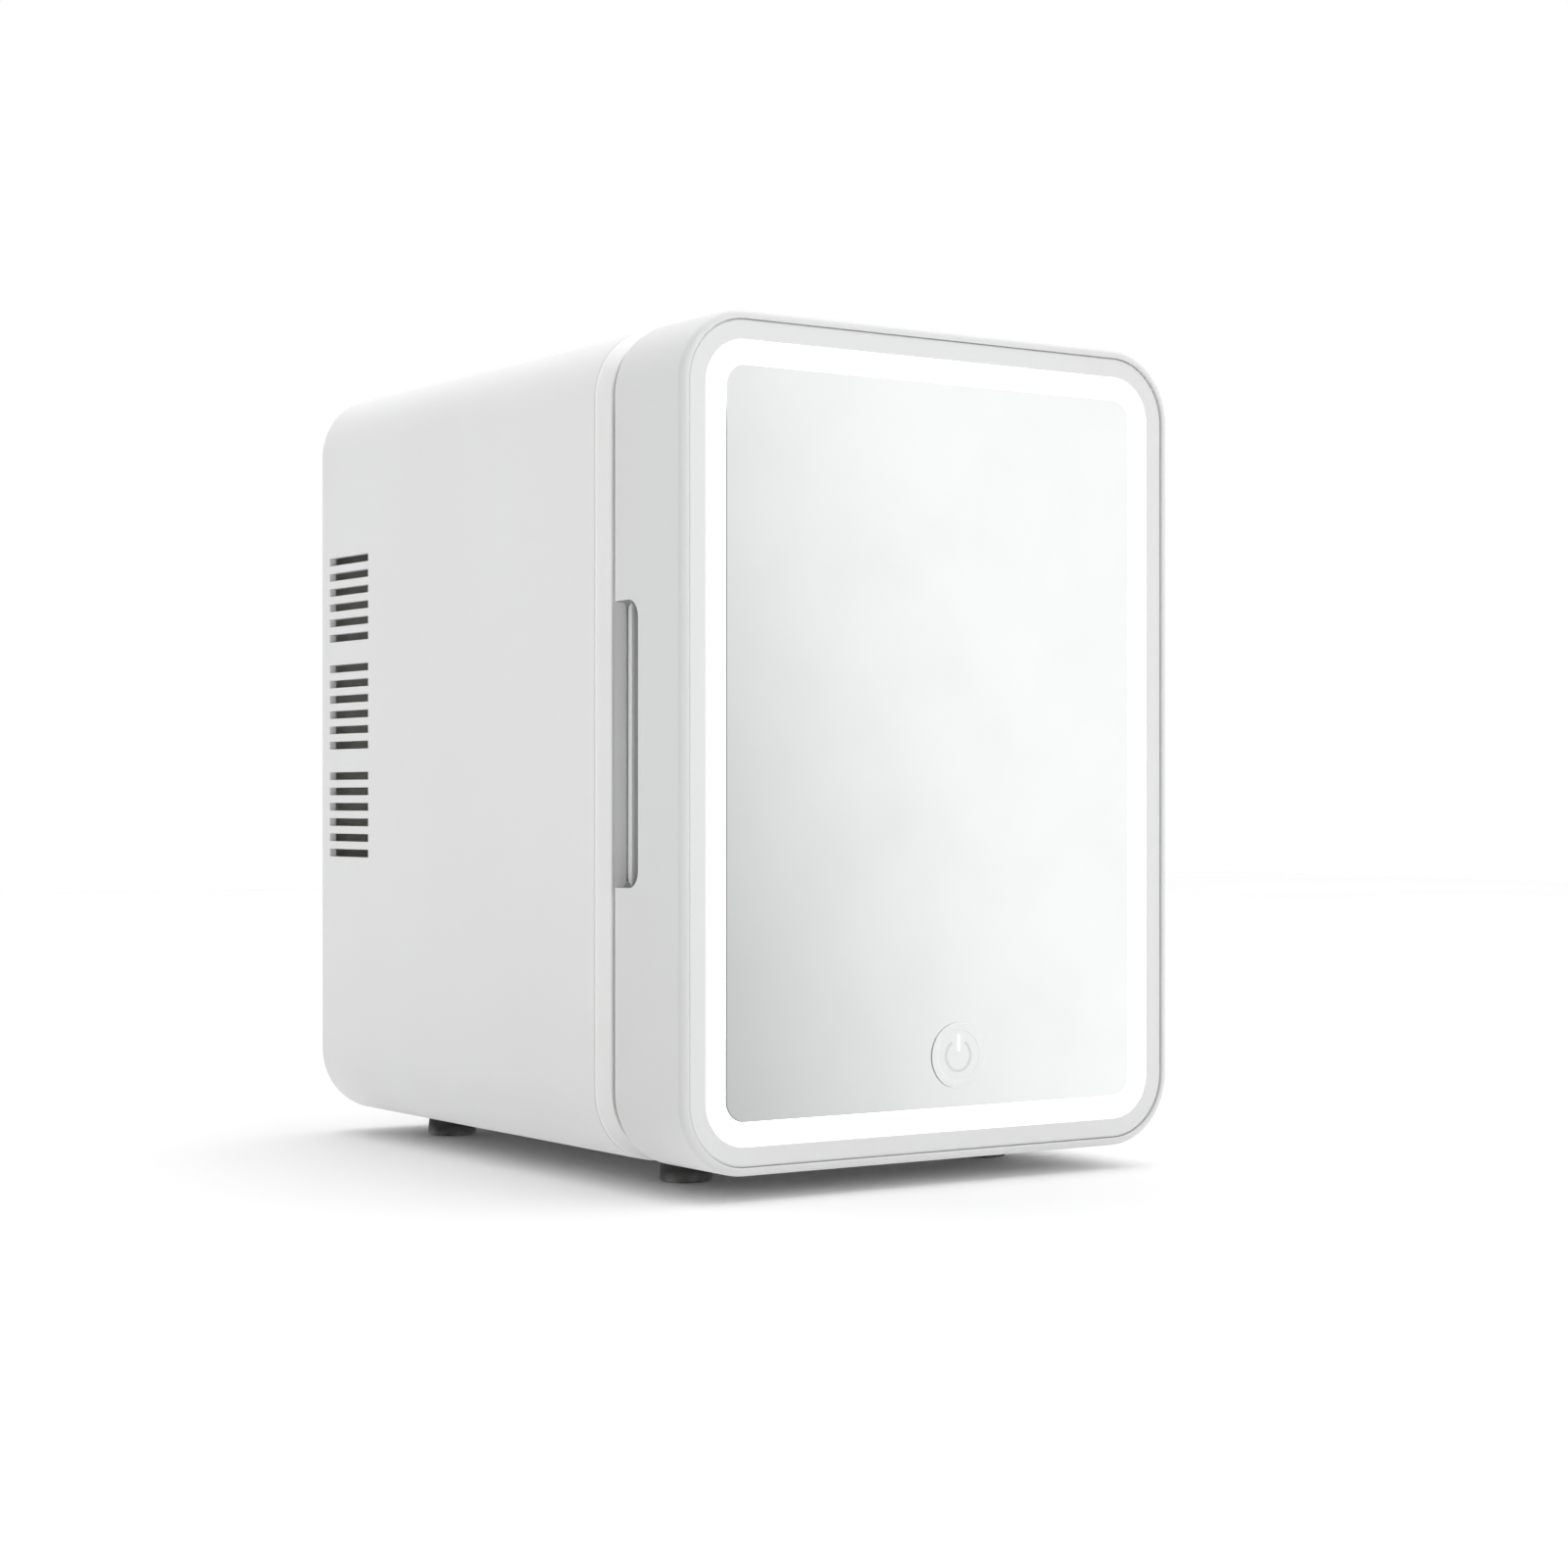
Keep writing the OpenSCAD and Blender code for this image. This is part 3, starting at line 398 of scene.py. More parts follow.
def metal(name, colour, rough, grain=(1, 1, 1)):
    """Machined or pressed metal with drawn grain and handling stains."""
    finish = Finish(name, Metallic=1.0)
    stain = finish.noise(8, detail=5)
    finish.colour(finish.mixed(stain, tinted(colour, 0.9), tinted(colour, 1.04)))
    lines = finish.noise(0.5, detail=4, stretch=grain)
    finish.roughness(stain, rough, rough + 0.14)
    finish.relief((lines, 0.01, 0.5))
    return finish.material


def mirror_silver():
    """Silvered glass with the faintest haze of fingerprints."""
    finish = Finish("mirror_silver", Metallic=1.0, IOR=1.5)
    haze = finish.noise(28, detail=6, contrast=(0.4, 0.8))
    finish.colour(finish.mixed(haze, (0.93, 0.94, 0.94), (0.9, 0.912, 0.91)))
    finish.roughness(haze, 0.035, 0.09)
    finish.relief((finish.noise(60, detail=1), 0.02, 0.1))
    return finish.material


def lit_plastic(name, colour, glow):
    """White diffuser lit from behind, slightly uneven between its light sources."""
    finish = Finish(name, Emission_Strength=glow, Subsurface_Weight=0.1)
    finish.shader.inputs["Subsurface Radius"].default_value = (0.003, 0.003, 0.003)
    pools = finish.noise(16, detail=1)
    bright = finish.mixed(pools, tinted(colour, 0.97), colour)
    finish.colour(bright)
    finish.tree.links.new(bright, finish.shader.inputs["Emission Color"])
    finish.roughness(finish.noise(5, detail=3), 0.35, 0.43)
    finish.relief((finish.noise(0.4, detail=2), 0.004, 0.4))
    return finish.material


def clear_plastic():
    """Clear polystyrene with flow lines and light scuffs."""
    finish = Finish("clear_plastic", Transmission_Weight=0.75, Alpha=0.6, IOR=1.5)
    scuff = finish.noise(12, detail=6, contrast=(0.5, 0.8))
    finish.colour(finish.mixed(scuff, (0.95, 0.975, 0.985), (0.9, 0.925, 0.935)))
    finish.roughness(scuff, 0.06, 0.24)
    finish.relief((finish.noise(14, detail=2, stretch=(1, 1, 0.4)), 0.03, 0.3))
    return finish.material


def foam():
    """Rigid polyurethane foam with open cells on its skin."""
    finish = Finish("foam_cream", Subsurface_Weight=0.1)
    finish.shader.inputs["Subsurface Radius"].default_value = (0.002, 0.0018, 0.0012)
    cells = finish.cells(1.6)
    finish.colour(finish.mixed(finish.noise(12, detail=4), (0.88, 0.83, 0.68), (0.94, 0.9, 0.78)))
    finish.roughness(cells, 0.75, 0.95)
    finish.relief((cells, 0.5, 0.6))
    return finish.material


def circuit_board(name, colour):
    """Lacquered board with copper tracks showing through."""
    finish = Finish(name, Coat_Weight=0.3)
    track = finish.spread(finish.cells(4.5, "DISTANCE_TO_EDGE"), (0.04, 0.07), (0, 1))
    finish.colour(finish.mixed(track, tinted(colour, 1.7), colour))
    finish.roughness(finish.noise(6), 0.28, 0.42)
    finish.relief((track, 0.05, 0.5))
    return finish.material


def wire_sleeve(name, colour):
    """Soft vinyl insulation."""
    finish = Finish(name)
    finish.colour(finish.mixed(finish.noise(6), tinted(colour, 0.85), tinted(colour, 1.15)))
    finish.roughness(finish.noise(3), 0.38, 0.55)
    finish.relief((finish.noise(0.5), 0.02, 0.4))
    return finish.material


CABINET_WHITE = moulded_plastic("cabinet_white", (0.85, 0.855, 0.855), 0.3)
DOOR_WHITE = moulded_plastic("door_white", (0.745, 0.751, 0.75), 0.27)
BEZEL_GREY = moulded_plastic("bezel_grey", (0.78, 0.787, 0.787), 0.3, depth=0.004)
LINER_WHITE = moulded_plastic("liner_white", (0.86, 0.868, 0.865), 0.24, depth=0.003)
# Plastic of the front collar: its gloss is real, but its extra whiteness over the casing is a painted
# highlight for the bright strip along the rim.
RIM_PAINTED_HIGHLIGHT = moulded_plastic("rim_painted_highlight", (0.96, 0.965, 0.962), 0.12, depth=0.002, wear=0.01)
# Dark grey for the faces of the finger notch: painted shade that stands in for the shadow inside the recess,
# not the plastic's own colour.
NOTCH_PAINTED_SHADE = moulded_plastic("notch_painted_shade", (0.32, 0.325, 0.325), 0.4, grain=0.7, depth=0.01)
PANEL_WHITE = moulded_plastic("panel_white", (0.7, 0.706, 0.706), 0.42, grain=0.8, depth=0.03)
BLACK_PLASTIC = moulded_plastic("black_plastic", (0.022, 0.022, 0.024), 0.42, grain=0.7, depth=0.02,
                                wear=0.3)
KNOB_GREY = moulded_plastic("knob_grey", (0.6, 0.6, 0.61), 0.4, depth=0.01)
GASKET_GREY = rubber("gasket_grey", (0.6, 0.61, 0.61), mottle=0.03)
FOOT_RUBBER = rubber("foot_rubber", (0.075, 0.075, 0.078))
RING_GLOW = lit_plastic("diffuser_white", (1.0, 1.0, 0.995), 1.15)
TOUCH_WHITE = lit_plastic("touch_white", (0.81, 0.816, 0.816), 0.1)
TOUCH_ARC = lit_plastic("touch_arc", (0.7, 0.71, 0.71), 0.08)
TOUCH_MARK = lit_plastic("touch_mark", (1.0, 1.0, 1.0), 0.55)
MIRROR_SILVER = mirror_silver()
CLEAR_PLASTIC = clear_plastic()
FOAM_CREAM = foam()
FINNED = metal("fin_aluminium", (0.77, 0.78, 0.79), 0.28, grain=(1, 1, 0.03))
STEEL = metal("screw_steel", (0.62, 0.62, 0.63), 0.24)
PRESSED_STEEL = metal("pressed_steel", (0.66, 0.66, 0.67), 0.3, grain=(1, 1, 0.08))
BRASS = metal("pin_brass", (0.78, 0.62, 0.32), 0.22)
CERAMIC = moulded_plastic("module_ceramic", (0.82, 0.82, 0.8), 0.6, grain=0.3, depth=0.01)
BOARD_GREEN = circuit_board("board_green", (0.03, 0.16, 0.065))
BOARD_WHITE = circuit_board("board_white", (0.74, 0.74, 0.72))
CORE_DARK = moulded_plastic("ferrite", (0.05, 0.05, 0.05), 0.7, depth=0.03, wear=0.3)
COIL_YELLOW = wire_sleeve("coil_yellow", (0.78, 0.5, 0.06))
SLEEVE_BLUE = wire_sleeve("capacitor_blue", (0.03, 0.05, 0.14))
WIRE_RED = wire_sleeve("wire_red", (0.5, 0.03, 0.02))
WIRE_BLACK = wire_sleeve("wire_black", (0.015, 0.015, 0.016))
CHIP_YELLOW = lit_plastic("chip_yellow", (0.98, 0.9, 0.55), 0.6)


# Cabinet

VENT_S = 204.7
VENT_LENGTH = 28.4
VENT_HEIGHT = 2.5
VENT_PITCH = 5.05
VENT_ROWS = 20
VENT_GROUP = 7            # every seventh row is left closed
VENTS = [row for row in range(VENT_ROWS) if (row + 1) % VENT_GROUP]
EDGE_SCREWS = [(side * 79.5, z) for side in (-1, 1) for z in (40, 212)]
FEET = [(x, s) for s in (50, 195) for x in (-54, 54)]


def cabinet_casing():
    """Wrap-around casing with its vents, foot bosses and screw bosses."""
    bm = bmesh.new()
    wall = 2.5
    add_loft(bm, BODY, rounded([
        (0, RIM_S, 0.3), (0, CASE_END, 2), (wall, CASE_END, 0.4), (wall, RIM_S, 0.4)]))
    for x, s in FEET:
        add_rod(bm, x, s, 4.5, BASE_Z + 2.3, BASE_Z + 9, axis="z")
    for x, z in EDGE_SCREWS:
        add_rod(bm, x, z, 4, 205, 223.4)
    vents = bmesh.new()
    for side in (-1, 1):
        x = sorted((side * (WIDTH / 2 - 4), side * (WIDTH / 2 + 2)))
        for row in VENTS:
            z = COOLER_Z + (row - (VENT_ROWS - 1) / 2) * VENT_PITCH
            add_box(vents, x, (VENT_S - VENT_LENGTH / 2, VENT_S + VENT_LENGTH / 2),
                    (z - VENT_HEIGHT / 2, z + VENT_HEIGHT / 2))
    make("cabinet_casing", bm, "cabinet", CABINET_WHITE, ["cabinet_shell"], cut=vents)


def front_collar():
    """Frame round the cavity, whose chamfered glossy rim shows between the casing and the door. The rim's
    plastic is whiter than the casing's as a painted highlight along it.
    """
    bm = bmesh.new()
    add_loft(bm, BODY, rounded([
        (18, FRAME_S, 0.8), (3, FRAME_S, 0.3), (2.7, FRAME_S - 0.5, 0.1), (2.1, FRAME_S - 0.5, 0.3),
        (0.1, RIM_S - 1.2, 3), (0.1, RIM_S - 0.2, 0.2), (2.6, RIM_S - 0.2, 0.1), (2.6, FLANGE_S, 0.1),
        (18, FLANGE_S, 0.1)]))
    opening = bmesh.new()
    through = (FRAME_S - 2, FRAME_S + 4)
    add_solid(opening, CAVITY, *through)
    for z in HINGE_Z:
        add_box(opening, (78.8, 90), through, (z - 7.4, z + 7.4))
    # The collar's whiter plastic is a painted highlight along its rim.
    make("front_collar", bm, "cabinet", RIM_PAINTED_HIGHLIGHT, ["front_frame"], cut=opening, edge=0.15)


def liner_tub():
    """Cooled cavity: a deep tub with rounded back corners, a flange and two shelf ledges."""
    bm = bmesh.new()
    wall = 1.5
    add_loft(bm, CAVITY, rounded([
        (12, LINER_END, 0), (0.6, LINER_END, 5), (0, FLANGE_S, 0), (-4, FLANGE_S, 0.3),
        (-4, FLANGE_S + wall, 0.3), (-wall, FLANGE_S + wall, 0), (-wall, LINER_END + wall, 2),
        (12, LINER_END + wall, 0)], closed=False), closed=False)
    window = bmesh.new()
    add_solid(window, Outline(72, 72, 3, v=COOLER_Z), LINER_END - 6, LINER_END + 6)
    make("liner_tub", bm, "cabinet", LINER_WHITE, ["inner_liner"], cut=window, edge=0.5)
    ledges = bmesh.new()
    for side in (-1, 1):
        rail = Outline(5.4, 3, 1.2, u=side * 67, v=MIDDLE_Z - 2.5)
        add_solid(ledges, rail, 60, 170, edge=0.8)
    make("shelf_ledges", ledges, "cabinet", LINER_WHITE, edge=0)


def screw_template(radius, height):
    """Pan head with a cross recess, about the origin, its top facing -Y."""
    bm = bmesh.new()
    dome = [(radius * 0.05, -height), (radius * 0.45, -height * 0.97), (radius * 0.75, -height * 0.8),
            (radius * 0.93, -height * 0.5), (radius, -height * 0.12), (radius, 0)]
    turns = [2 * math.pi * i / 32 for i in range(32)]
    add_rings(bm, [[(r * math.cos(a), w, r * math.sin(a)) for a in turns] for r, w in dome])
    head = new_object("screw_head", bm)
    cross = bmesh.new()
    for turn in (0, math.pi / 2):
        made = bmesh.ops.create_cube(cross, size=1)
        bmesh.ops.scale(cross, vec=(radius * 1.15, height * 1.1, radius * 0.26), verts=made["verts"])
        bmesh.ops.rotate(cross, matrix=Matrix.Rotation(turn, 3, "Y"), verts=made["verts"])
        bmesh.ops.translate(cross, vec=(0, -height, 0), verts=made["verts"])
    combine(head, cross, "DIFFERENCE")
    mesh = head.data
    bpy.data.objects.remove(head)
    return mesh


def add_screws(bm, places, radius, height, shank, shank_length, facing):
    """Adds screws at (x, height, station) places. facing is -1 towards the front and 1 towards the rear."""
    template = screw_template(radius, height)
    for x, z, s in places:
        start = len(bm.verts)
        bm.from_mesh(template)
        bm.verts.ensure_lookup_table()
        verts = bm.verts[start:]
        turn = 0 if facing < 0 else math.pi
        spin = Matrix.Rotation(math.radians(x * 7 + z * 3), 3, "Y")
        bmesh.ops.rotate(bm, matrix=Matrix.Rotation(turn, 3, "Z") @ spin, verts=verts)
        bmesh.ops.translate(bm, vec=place("y", x, z, s), verts=verts)
        ends = sorted((s, s - facing * shank_length))
        add_rod(bm, x, z, shank, ends[0], ends[1], steps=20)


def four(distance, z, s):
    """Four places round a centre height."""
    return [(side_x * distance, z + side_z * distance, s) for side_x, side_z in CORNERS]


def screws():
    edge_places = [(x, z, PANEL_S) for x, z in EDGE_SCREWS]
    hinge_places = [(76.6, z + side * 6, 46) for z in HINGE_Z for side in (-1, 1)]
    # Name, node, places, head's radius and height, shank's radius and length, and facing
    sets = (
        ("back_panel_screws", "rear_cover_screws", edge_places, 2.8, 1.6, 1.3, 17, 1),
        ("fan_mount_screws", "hot_fan_screws", four(FAN_SCREW, COOLER_Z, PANEL_S), 3.2, 1.8, 1.5, 33.2, 1),
        ("shroud_screws", "cover_screws", four(COVER_SCREW, COOLER_Z, COVER_S), 2.6, 1.2, 1.2, 23.5, -1),
        ("inner_fan_screws", "cold_fan_screws", four(20, COOLER_Z, 162), 2.4, 1.5, 1.2, 20, -1),
        ("sink_screws", "clamp_screws", four(30, COOLER_Z, 197.8), 2.1, 2, 1.4, 17.3, 1),
        ("hinge_screws", "bracket_screws", hinge_places, 2.2, 1.6, 1.2, 4.2, 1),
    )
    for name, node, places, radius, height, shank, length, facing in sets:
        bm = bmesh.new()
        add_screws(bm, places, radius, height, shank, length, facing)
        make(name, bm, "cabinet", STEEL, [node], edge=0.12)


def rubber_feet():
    """Feet with a recess below, over the head of the screw that holds each one."""
    seat, sole = 3.2, 7
    foot = rounded([(8, 0, 1), (7.5, 5.8, 0.4), (6.9, 6.2, 0.2), (6.9, sole, 0.1), (1.6, sole, 0),
                    (1.6, seat, 0), (4, seat, 0.2), (4.3, 0, 0.6)])
    for number, (x, s) in enumerate(FEET, 1):
        bm = bmesh.new()
        add_loft(bm, Circle(x, s, "z", 56), foot)
        make(f"rubber_foot_{number}", bm, "cabinet", FOOT_RUBBER, [f"foot_{number}"], edge=0)
    head = rounded([(0.3, 1.4, 0), (2.2, 1.4, 0.3), (3.2, 2.2, 0.3), (3.2, seat, 0)], closed=False)
    shank = [Vector((1.4, seat)), Vector((1.4, 14))]
    bm = bmesh.new()
    slots = bmesh.new()
    for x, s in FEET:
        add_loft(bm, Circle(x, s, "z", 32), head + shank, closed=False)
        for half_x, half_s in ((2.2, 0.4), (0.4, 2.2)):
            add_box(slots, (x - half_x, x + half_x), (s - half_s, s + half_s), (1, 2.3))
    make("foot_fixings", bm, "cabinet", STEEL, ["foot_screws"], cut=slots, edge=0)


# Cooling unit

FAN_SCREW = 35.75          # the hot fan's screws, out from its middle
COVER_SIDE = 92
COVER_SCREW = 40
COLD_GRILLE_R = 27
HOT_GRILLE_R = 38


def grille_rings(bm, radius, rings, spokes, width, start, end):
    """Concentric rings and spokes of a fan grille."""
    hub = radius / 5
    add_rod(bm, 0, COOLER_Z, hub, start, end, steps=48, edge=0.5)
    for i in range(1, rings + 1):
        middle = hub + (radius - hub) * i / (rings + 1)
        low, high = middle - width / 2, middle + width / 2
        section = rounded([(low, start + 0.15, 0.5), (high, start + 0.15, 0.5),
                           (high, end - 0.15, 0.5), (low, end - 0.15, 0.5)], steps=3)
        add_loft(bm, Circle(0, COOLER_Z, steps=96), section)
    for i in range(spokes):
        turn = math.pi * i / spokes
        begin = len(bm.verts)
        drop = 0.25 + 0.04 * i
        add_solid(bm, Outline(2 * radius + 1, width, 0.4, v=COOLER_Z), start + drop, end - drop, edge=0.4)
        bm.verts.ensure_lookup_table()
        bmesh.ops.rotate(bm, cent=place("y", 0, COOLER_Z, 0), matrix=Matrix.Rotation(turn, 3, "Y"),
                         verts=bm.verts[begin:])


def fan_shroud():
    """Cover over the inner fan, with a round grille and slotted sides."""
    wall = 2
    outline = Outline(COVER_SIDE, COVER_SIDE, 8, v=COOLER_Z)
    bm = bmesh.new()
    add_loft(bm, outline, rounded([
        (10, COVER_S, 0), (0, COVER_S, 2.2), (0, LINER_END, 0.2), (wall, LINER_END, 0.2),
        (wall, COVER_S + wall, 1), (10, COVER_S + wall, 0)], closed=False), closed=False)
    for x, z, s in four(COVER_SCREW, COOLER_Z, COVER_S + wall - 0.1):
        add_rod(bm, x, z, 3.2, s, LINER_END)
    holes = bmesh.new()
    add_rod(holes, 0, COOLER_Z, COLD_GRILLE_R, COVER_S - 4, COVER_S + 6, steps=96)
    for i in range(-4, 5):
        for end in (-1, 1):
            z = sorted((COOLER_Z + end * (COVER_SIDE / 2 - 5), COOLER_Z + end * (COVER_SIDE / 2 + 5)))
            add_box(holes, (i * 7 - 1.5, i * 7 + 1.5), (160, 172), z)
    make("fan_shroud", bm, "cabinet", LINER_WHITE, ["cold_fan_cover"], cut=holes, edge=0.4)
    rings = bmesh.new()
    grille_rings(rings, COLD_GRILLE_R, 4, 3, 1.6, COVER_S, COVER_S + wall)
    make("shroud_grille", rings, "cabinet", LINER_WHITE, edge=0)


def fan_blade(hub_r, tip_r, chord, pitch_root, pitch_tip, middle_s):
    """Points of one cambered, twisted blade, as rows from hub to tip, each (radius, angle, station)."""
    steps = 8
    rows = []
    for i in range(steps + 1):
        share = i / steps
        radius = hub_r + (tip_r - hub_r) * share
        pitch = math.radians(pitch_root + (pitch_tip - pitch_root) * share)
        width = chord * (0.82 + 0.3 * share - 0.16 * share ** 4)
        sweep = 0.2 * share ** 1.5
        row = []
        for k in range(steps + 1):
            along = (k / steps - 0.5) * width
            camber = 0.09 * width * (1 - (2 * k / steps - 1) ** 2)
            around = along * math.cos(pitch) - camber * math.sin(pitch)
            back = along * math.sin(pitch) + camber * math.cos(pitch)
            row.append((radius, around / radius + sweep, middle_s + back))
        rows.append(row)
    return rows


def rotor(name, node, body, hub_r, tip_r, stations, chord, thick, closed_front):
    """Fan rotor with a dished hub cup and seven sculpted blades."""
    start, end = stations
    blades = 7
    bm = bmesh.new()
    for blade in range(blades):
        turn = 2 * math.pi * blade / blades
        rows = fan_blade(hub_r - 0.5, tip_r, chord, 40, 30, (start + end) / 2)
        grid = [[bm.verts.new(place("y", r * math.cos(a + turn), COOLER_Z + r * math.sin(a + turn), s))
                 for r, a, s in row] for row in rows]
        for one, other in zip(grid, grid[1:]):
            for k in range(len(one) - 1):
                bm.faces.new((one[k], one[k + 1], other[k + 1], other[k]))
    made = new_object(name, bm)
    solid = made.modifiers.new("thick", "SOLIDIFY")
    solid.thickness, solid.offset = thick, 0
    settle(made)
    whole = bmesh.new()
    whole.from_mesh(made.data)
    bpy.data.objects.remove(made)
    front, back = (start, end) if closed_front else (end, start)
    into = 1 if closed_front else -1
    cup = rounded([
        (3, front + into * 0.5, 0), (hub_r - 3, front + into * 0.5, 0.4), (hub_r - 2.2, front, 0.3),
        (hub_r, front, 1), (hub_r, back, 0.2), (hub_r - 1.4, back, 0.2),
        (hub_r - 1.4, front + into * 1.8, 0.5), (3, front + into * 1.8, 0)], closed=False)
    add_loft(whole, Circle(0, COOLER_Z, steps=72), cup, closed=False)
    make(name, whole, body, BLACK_PLASTIC, [node], edge=0)


def wires():
    """Two looms from the power board up to the control board, each with a branch to the outer fan."""
    for name, node, x, branch_z, material, slot in (
            ("supply_loom", "supply_wires", 51, 120, WIRE_RED, "wire_red"),
            ("return_loom", "return_wires", 54, 116, WIRE_BLACK, "wire_black")):
        curve = bpy.data.curves.new(name, "CURVE")
        curve.dimensions, curve.bevel_depth, curve.bevel_resolution = "3D", 0.9 * MM, 4
        curve.use_fill_caps = True
        riser = [(x, 70, BOARD_S), (x, 71, 201), (x - 0.6, 78, 203.4), (x + 0.9, 100, 204.2),
                 (x, branch_z, 203), (x - 1, 150, 202.6), (x + 0.8, 180, 204), (x, 196, 203),
                 (x, 202, 201), (x, 203, BOARD_S)]
        branch = [(x, branch_z - 6, 203), (x - 1, branch_z - 1, 206), (x - 4, branch_z, 211),
                  (45, branch_z, 215), (40, branch_z, 216)]
        for route in (riser, branch):
            spline = curve.splines.new("NURBS")
            spline.points.add(len(route) - 1)
            for point, (px, pz, ps) in zip(spline.points, route):
                point.co = (*place("y", px, pz, ps) * MM, 1)
            spline.order_u, spline.use_endpoint_u, spline.resolution_u = 4, True, 6
        thing = bpy.data.objects.new(name, curve)
        bpy.context.scene.collection.objects.link(thing)
        finish_piece(thing, "cabinet", material, [node])


def board_parts():
    """Transformer and capacitors on the power board."""
    core = bmesh.new()
    x, z = -7, 39
    add_solid(core, Outline(30, 26, 1, u=x, v=z), BOARD_S, 200.5, edge=0.3)
    for end in (1, -1):
        add_solid(core, Outline(30, 5, 1, u=x, v=z + end * 10.5), BOARD_S, 211, edge=0.4)
    make("transformer_core", core, "cabinet", CORE_DARK, ["transformer"], edge=0)
    coil = bmesh.new()
    add_solid(coil, Outline(26, 17, 3, u=x, v=z), 198.5, 210.6, edge=1)
    make("transformer_coil", coil, "cabinet", COIL_YELLOW, edge=0)
    cans = bmesh.new()
    for x, z, radius in ((-44, 34, 6), (20, 34, 5), (34, 34, 5), (22, 60, 4), (-40, 62, 4)):
        section = rounded([(0.3, 208.5, 0), (radius - 1.2, 208.5, 0.2), (radius - 0.8, 209, 0.2),
                           (radius, 208.8, 0.6), (radius, 200.6, 0.3), (radius - 0.5, 199.9, 0.3),
                           (radius, 199.2, 0.3), (radius, BOARD_S, 0.2), (0.3, BOARD_S, 0)], closed=False)
        add_loft(cans, Circle(x, z, steps=40), section, closed=False)
    make("smoothing_capacitors", cans, "cabinet", SLEEVE_BLUE, ["capacitors"], edge=0)


# Rear

PANEL_INSIDE = 225.8
SOCKET_Z = 46              # height of both inlets and of the mode switch
SOCKETS = ((-38, 24.2, 16.2), (38, 18.2, 12.2), (0, 24.2, 14.2))   # x, width and height of each opening


def back_panel():
    """Back panel with the fan's opening, slots above it and three sockets below."""
    bm = bmesh.new()
    lip = 223.5
    add_loft(bm, BODY, rounded([
        (8, PANEL_INSIDE, 0), (5.2, PANEL_INSIDE, 0.6), (5.2, lip, 0.2), (2.7, lip, 0.2),
        (2.7, PANEL_S, 1.1), (8, PANEL_S, 0)], closed=False), closed=False)
    rim = bmesh.new()
    add_rod(rim, 0, COOLER_Z, HOT_GRILLE_R + 5, PANEL_S - 1.5, PANEL_S + 2, steps=128, edge=1)
    holes = bmesh.new()
    through = (222, 231)
    add_rod(holes, 0, COOLER_Z, HOT_GRILLE_R, 220, 234, steps=128)
    for i in range(-4, 5):
        add_solid(holes, Outline(3.2, 22, 1.5, u=i * 9, v=208), *through)
    for x, width, height in SOCKETS:
        add_box(holes, (x - width / 2, x + width / 2), through,
                (SOCKET_Z - height / 2, SOCKET_Z + height / 2))
    for x, z, s in four(FAN_SCREW, COOLER_Z, PANEL_S):
        add_rod(holes, x, z, 1.7, *through)
        add_rod(holes, x, z, 3.5, s, s + 4)
    for x, z in EDGE_SCREWS:
        add_rod(holes, x, z, 1.6, *through)
    make("back_panel", bm, "cabinet", PANEL_WHITE, ["rear_cover"], holes, rim, edge=0.35)
    rings = bmesh.new()
    grille_rings(rings, HOT_GRILLE_R, 5, 4, 1.8, PANEL_INSIDE, PANEL_S)
    make("back_grille", rings, "cabinet", PANEL_WHITE, edge=0)


def mode_slider():
    """Knob of the three-position switch, with grip ridges."""
    bm = bmesh.new()
    add_box(bm, (-4.6, 4.6), (222.2, 226.2), (SOCKET_Z - 3.9, SOCKET_Z + 3.9))
    add_solid(bm, Outline(5.6, 5.4, 0.7, v=SOCKET_Z), 226.1, 229.4, edge=0.4)
    for i in (-1, 0, 1):
        add_solid(bm, Outline(0.8, 4.8, 0.3, u=i * 1.6, v=SOCKET_Z), 229, 229.9, edge=0.25)
    make("mode_slider", bm, "mode_knob", KNOB_GREY, ["switch_knob"], edge=0)


# Door

NOTCH_DEEP = 12            # depth at the front wall of the finger notch
NOTCH_SHALLOW = 5.8        # depth at the door's rear face
NOTCH_FRONT = 23
NOTCH_BACK = 46.5
NOTCH_HEIGHT = 80
TOUCH_X = 7.5
TOUCH_Z = 36.8
HINGE_POCKET = 5.8         # room round a hinge's axis
HINGE_POCKET_Z = 7.3       # half the height of that room


def finger_notch(bm):
    """Cutter of the finger pull: deepest at its front wall, open to the side and the rear."""
    outline = Outline(NOTCH_BACK - NOTCH_FRONT, NOTCH_HEIGHT, 5,
                      u=(NOTCH_FRONT + NOTCH_BACK) / 2, v=MIDDLE_Z, axis="x")
    rings = []
    for inset, share in ((0, -0.3), (0, 0.78), (0.5, 0.9), (1.4, 0.97), (2.6, 1.0)):
        ring = outline.ring(inset, 0)
        for point in ring:
            back = (point.y - FRONT - NOTCH_FRONT) / (DOOR_END - NOTCH_FRONT)
            floor = NOTCH_DEEP - (NOTCH_DEEP - NOTCH_SHALLOW) * back
            point.x = -WIDTH / 2 + floor * share
        rings.append(ring)
    add_rings(bm, rings)


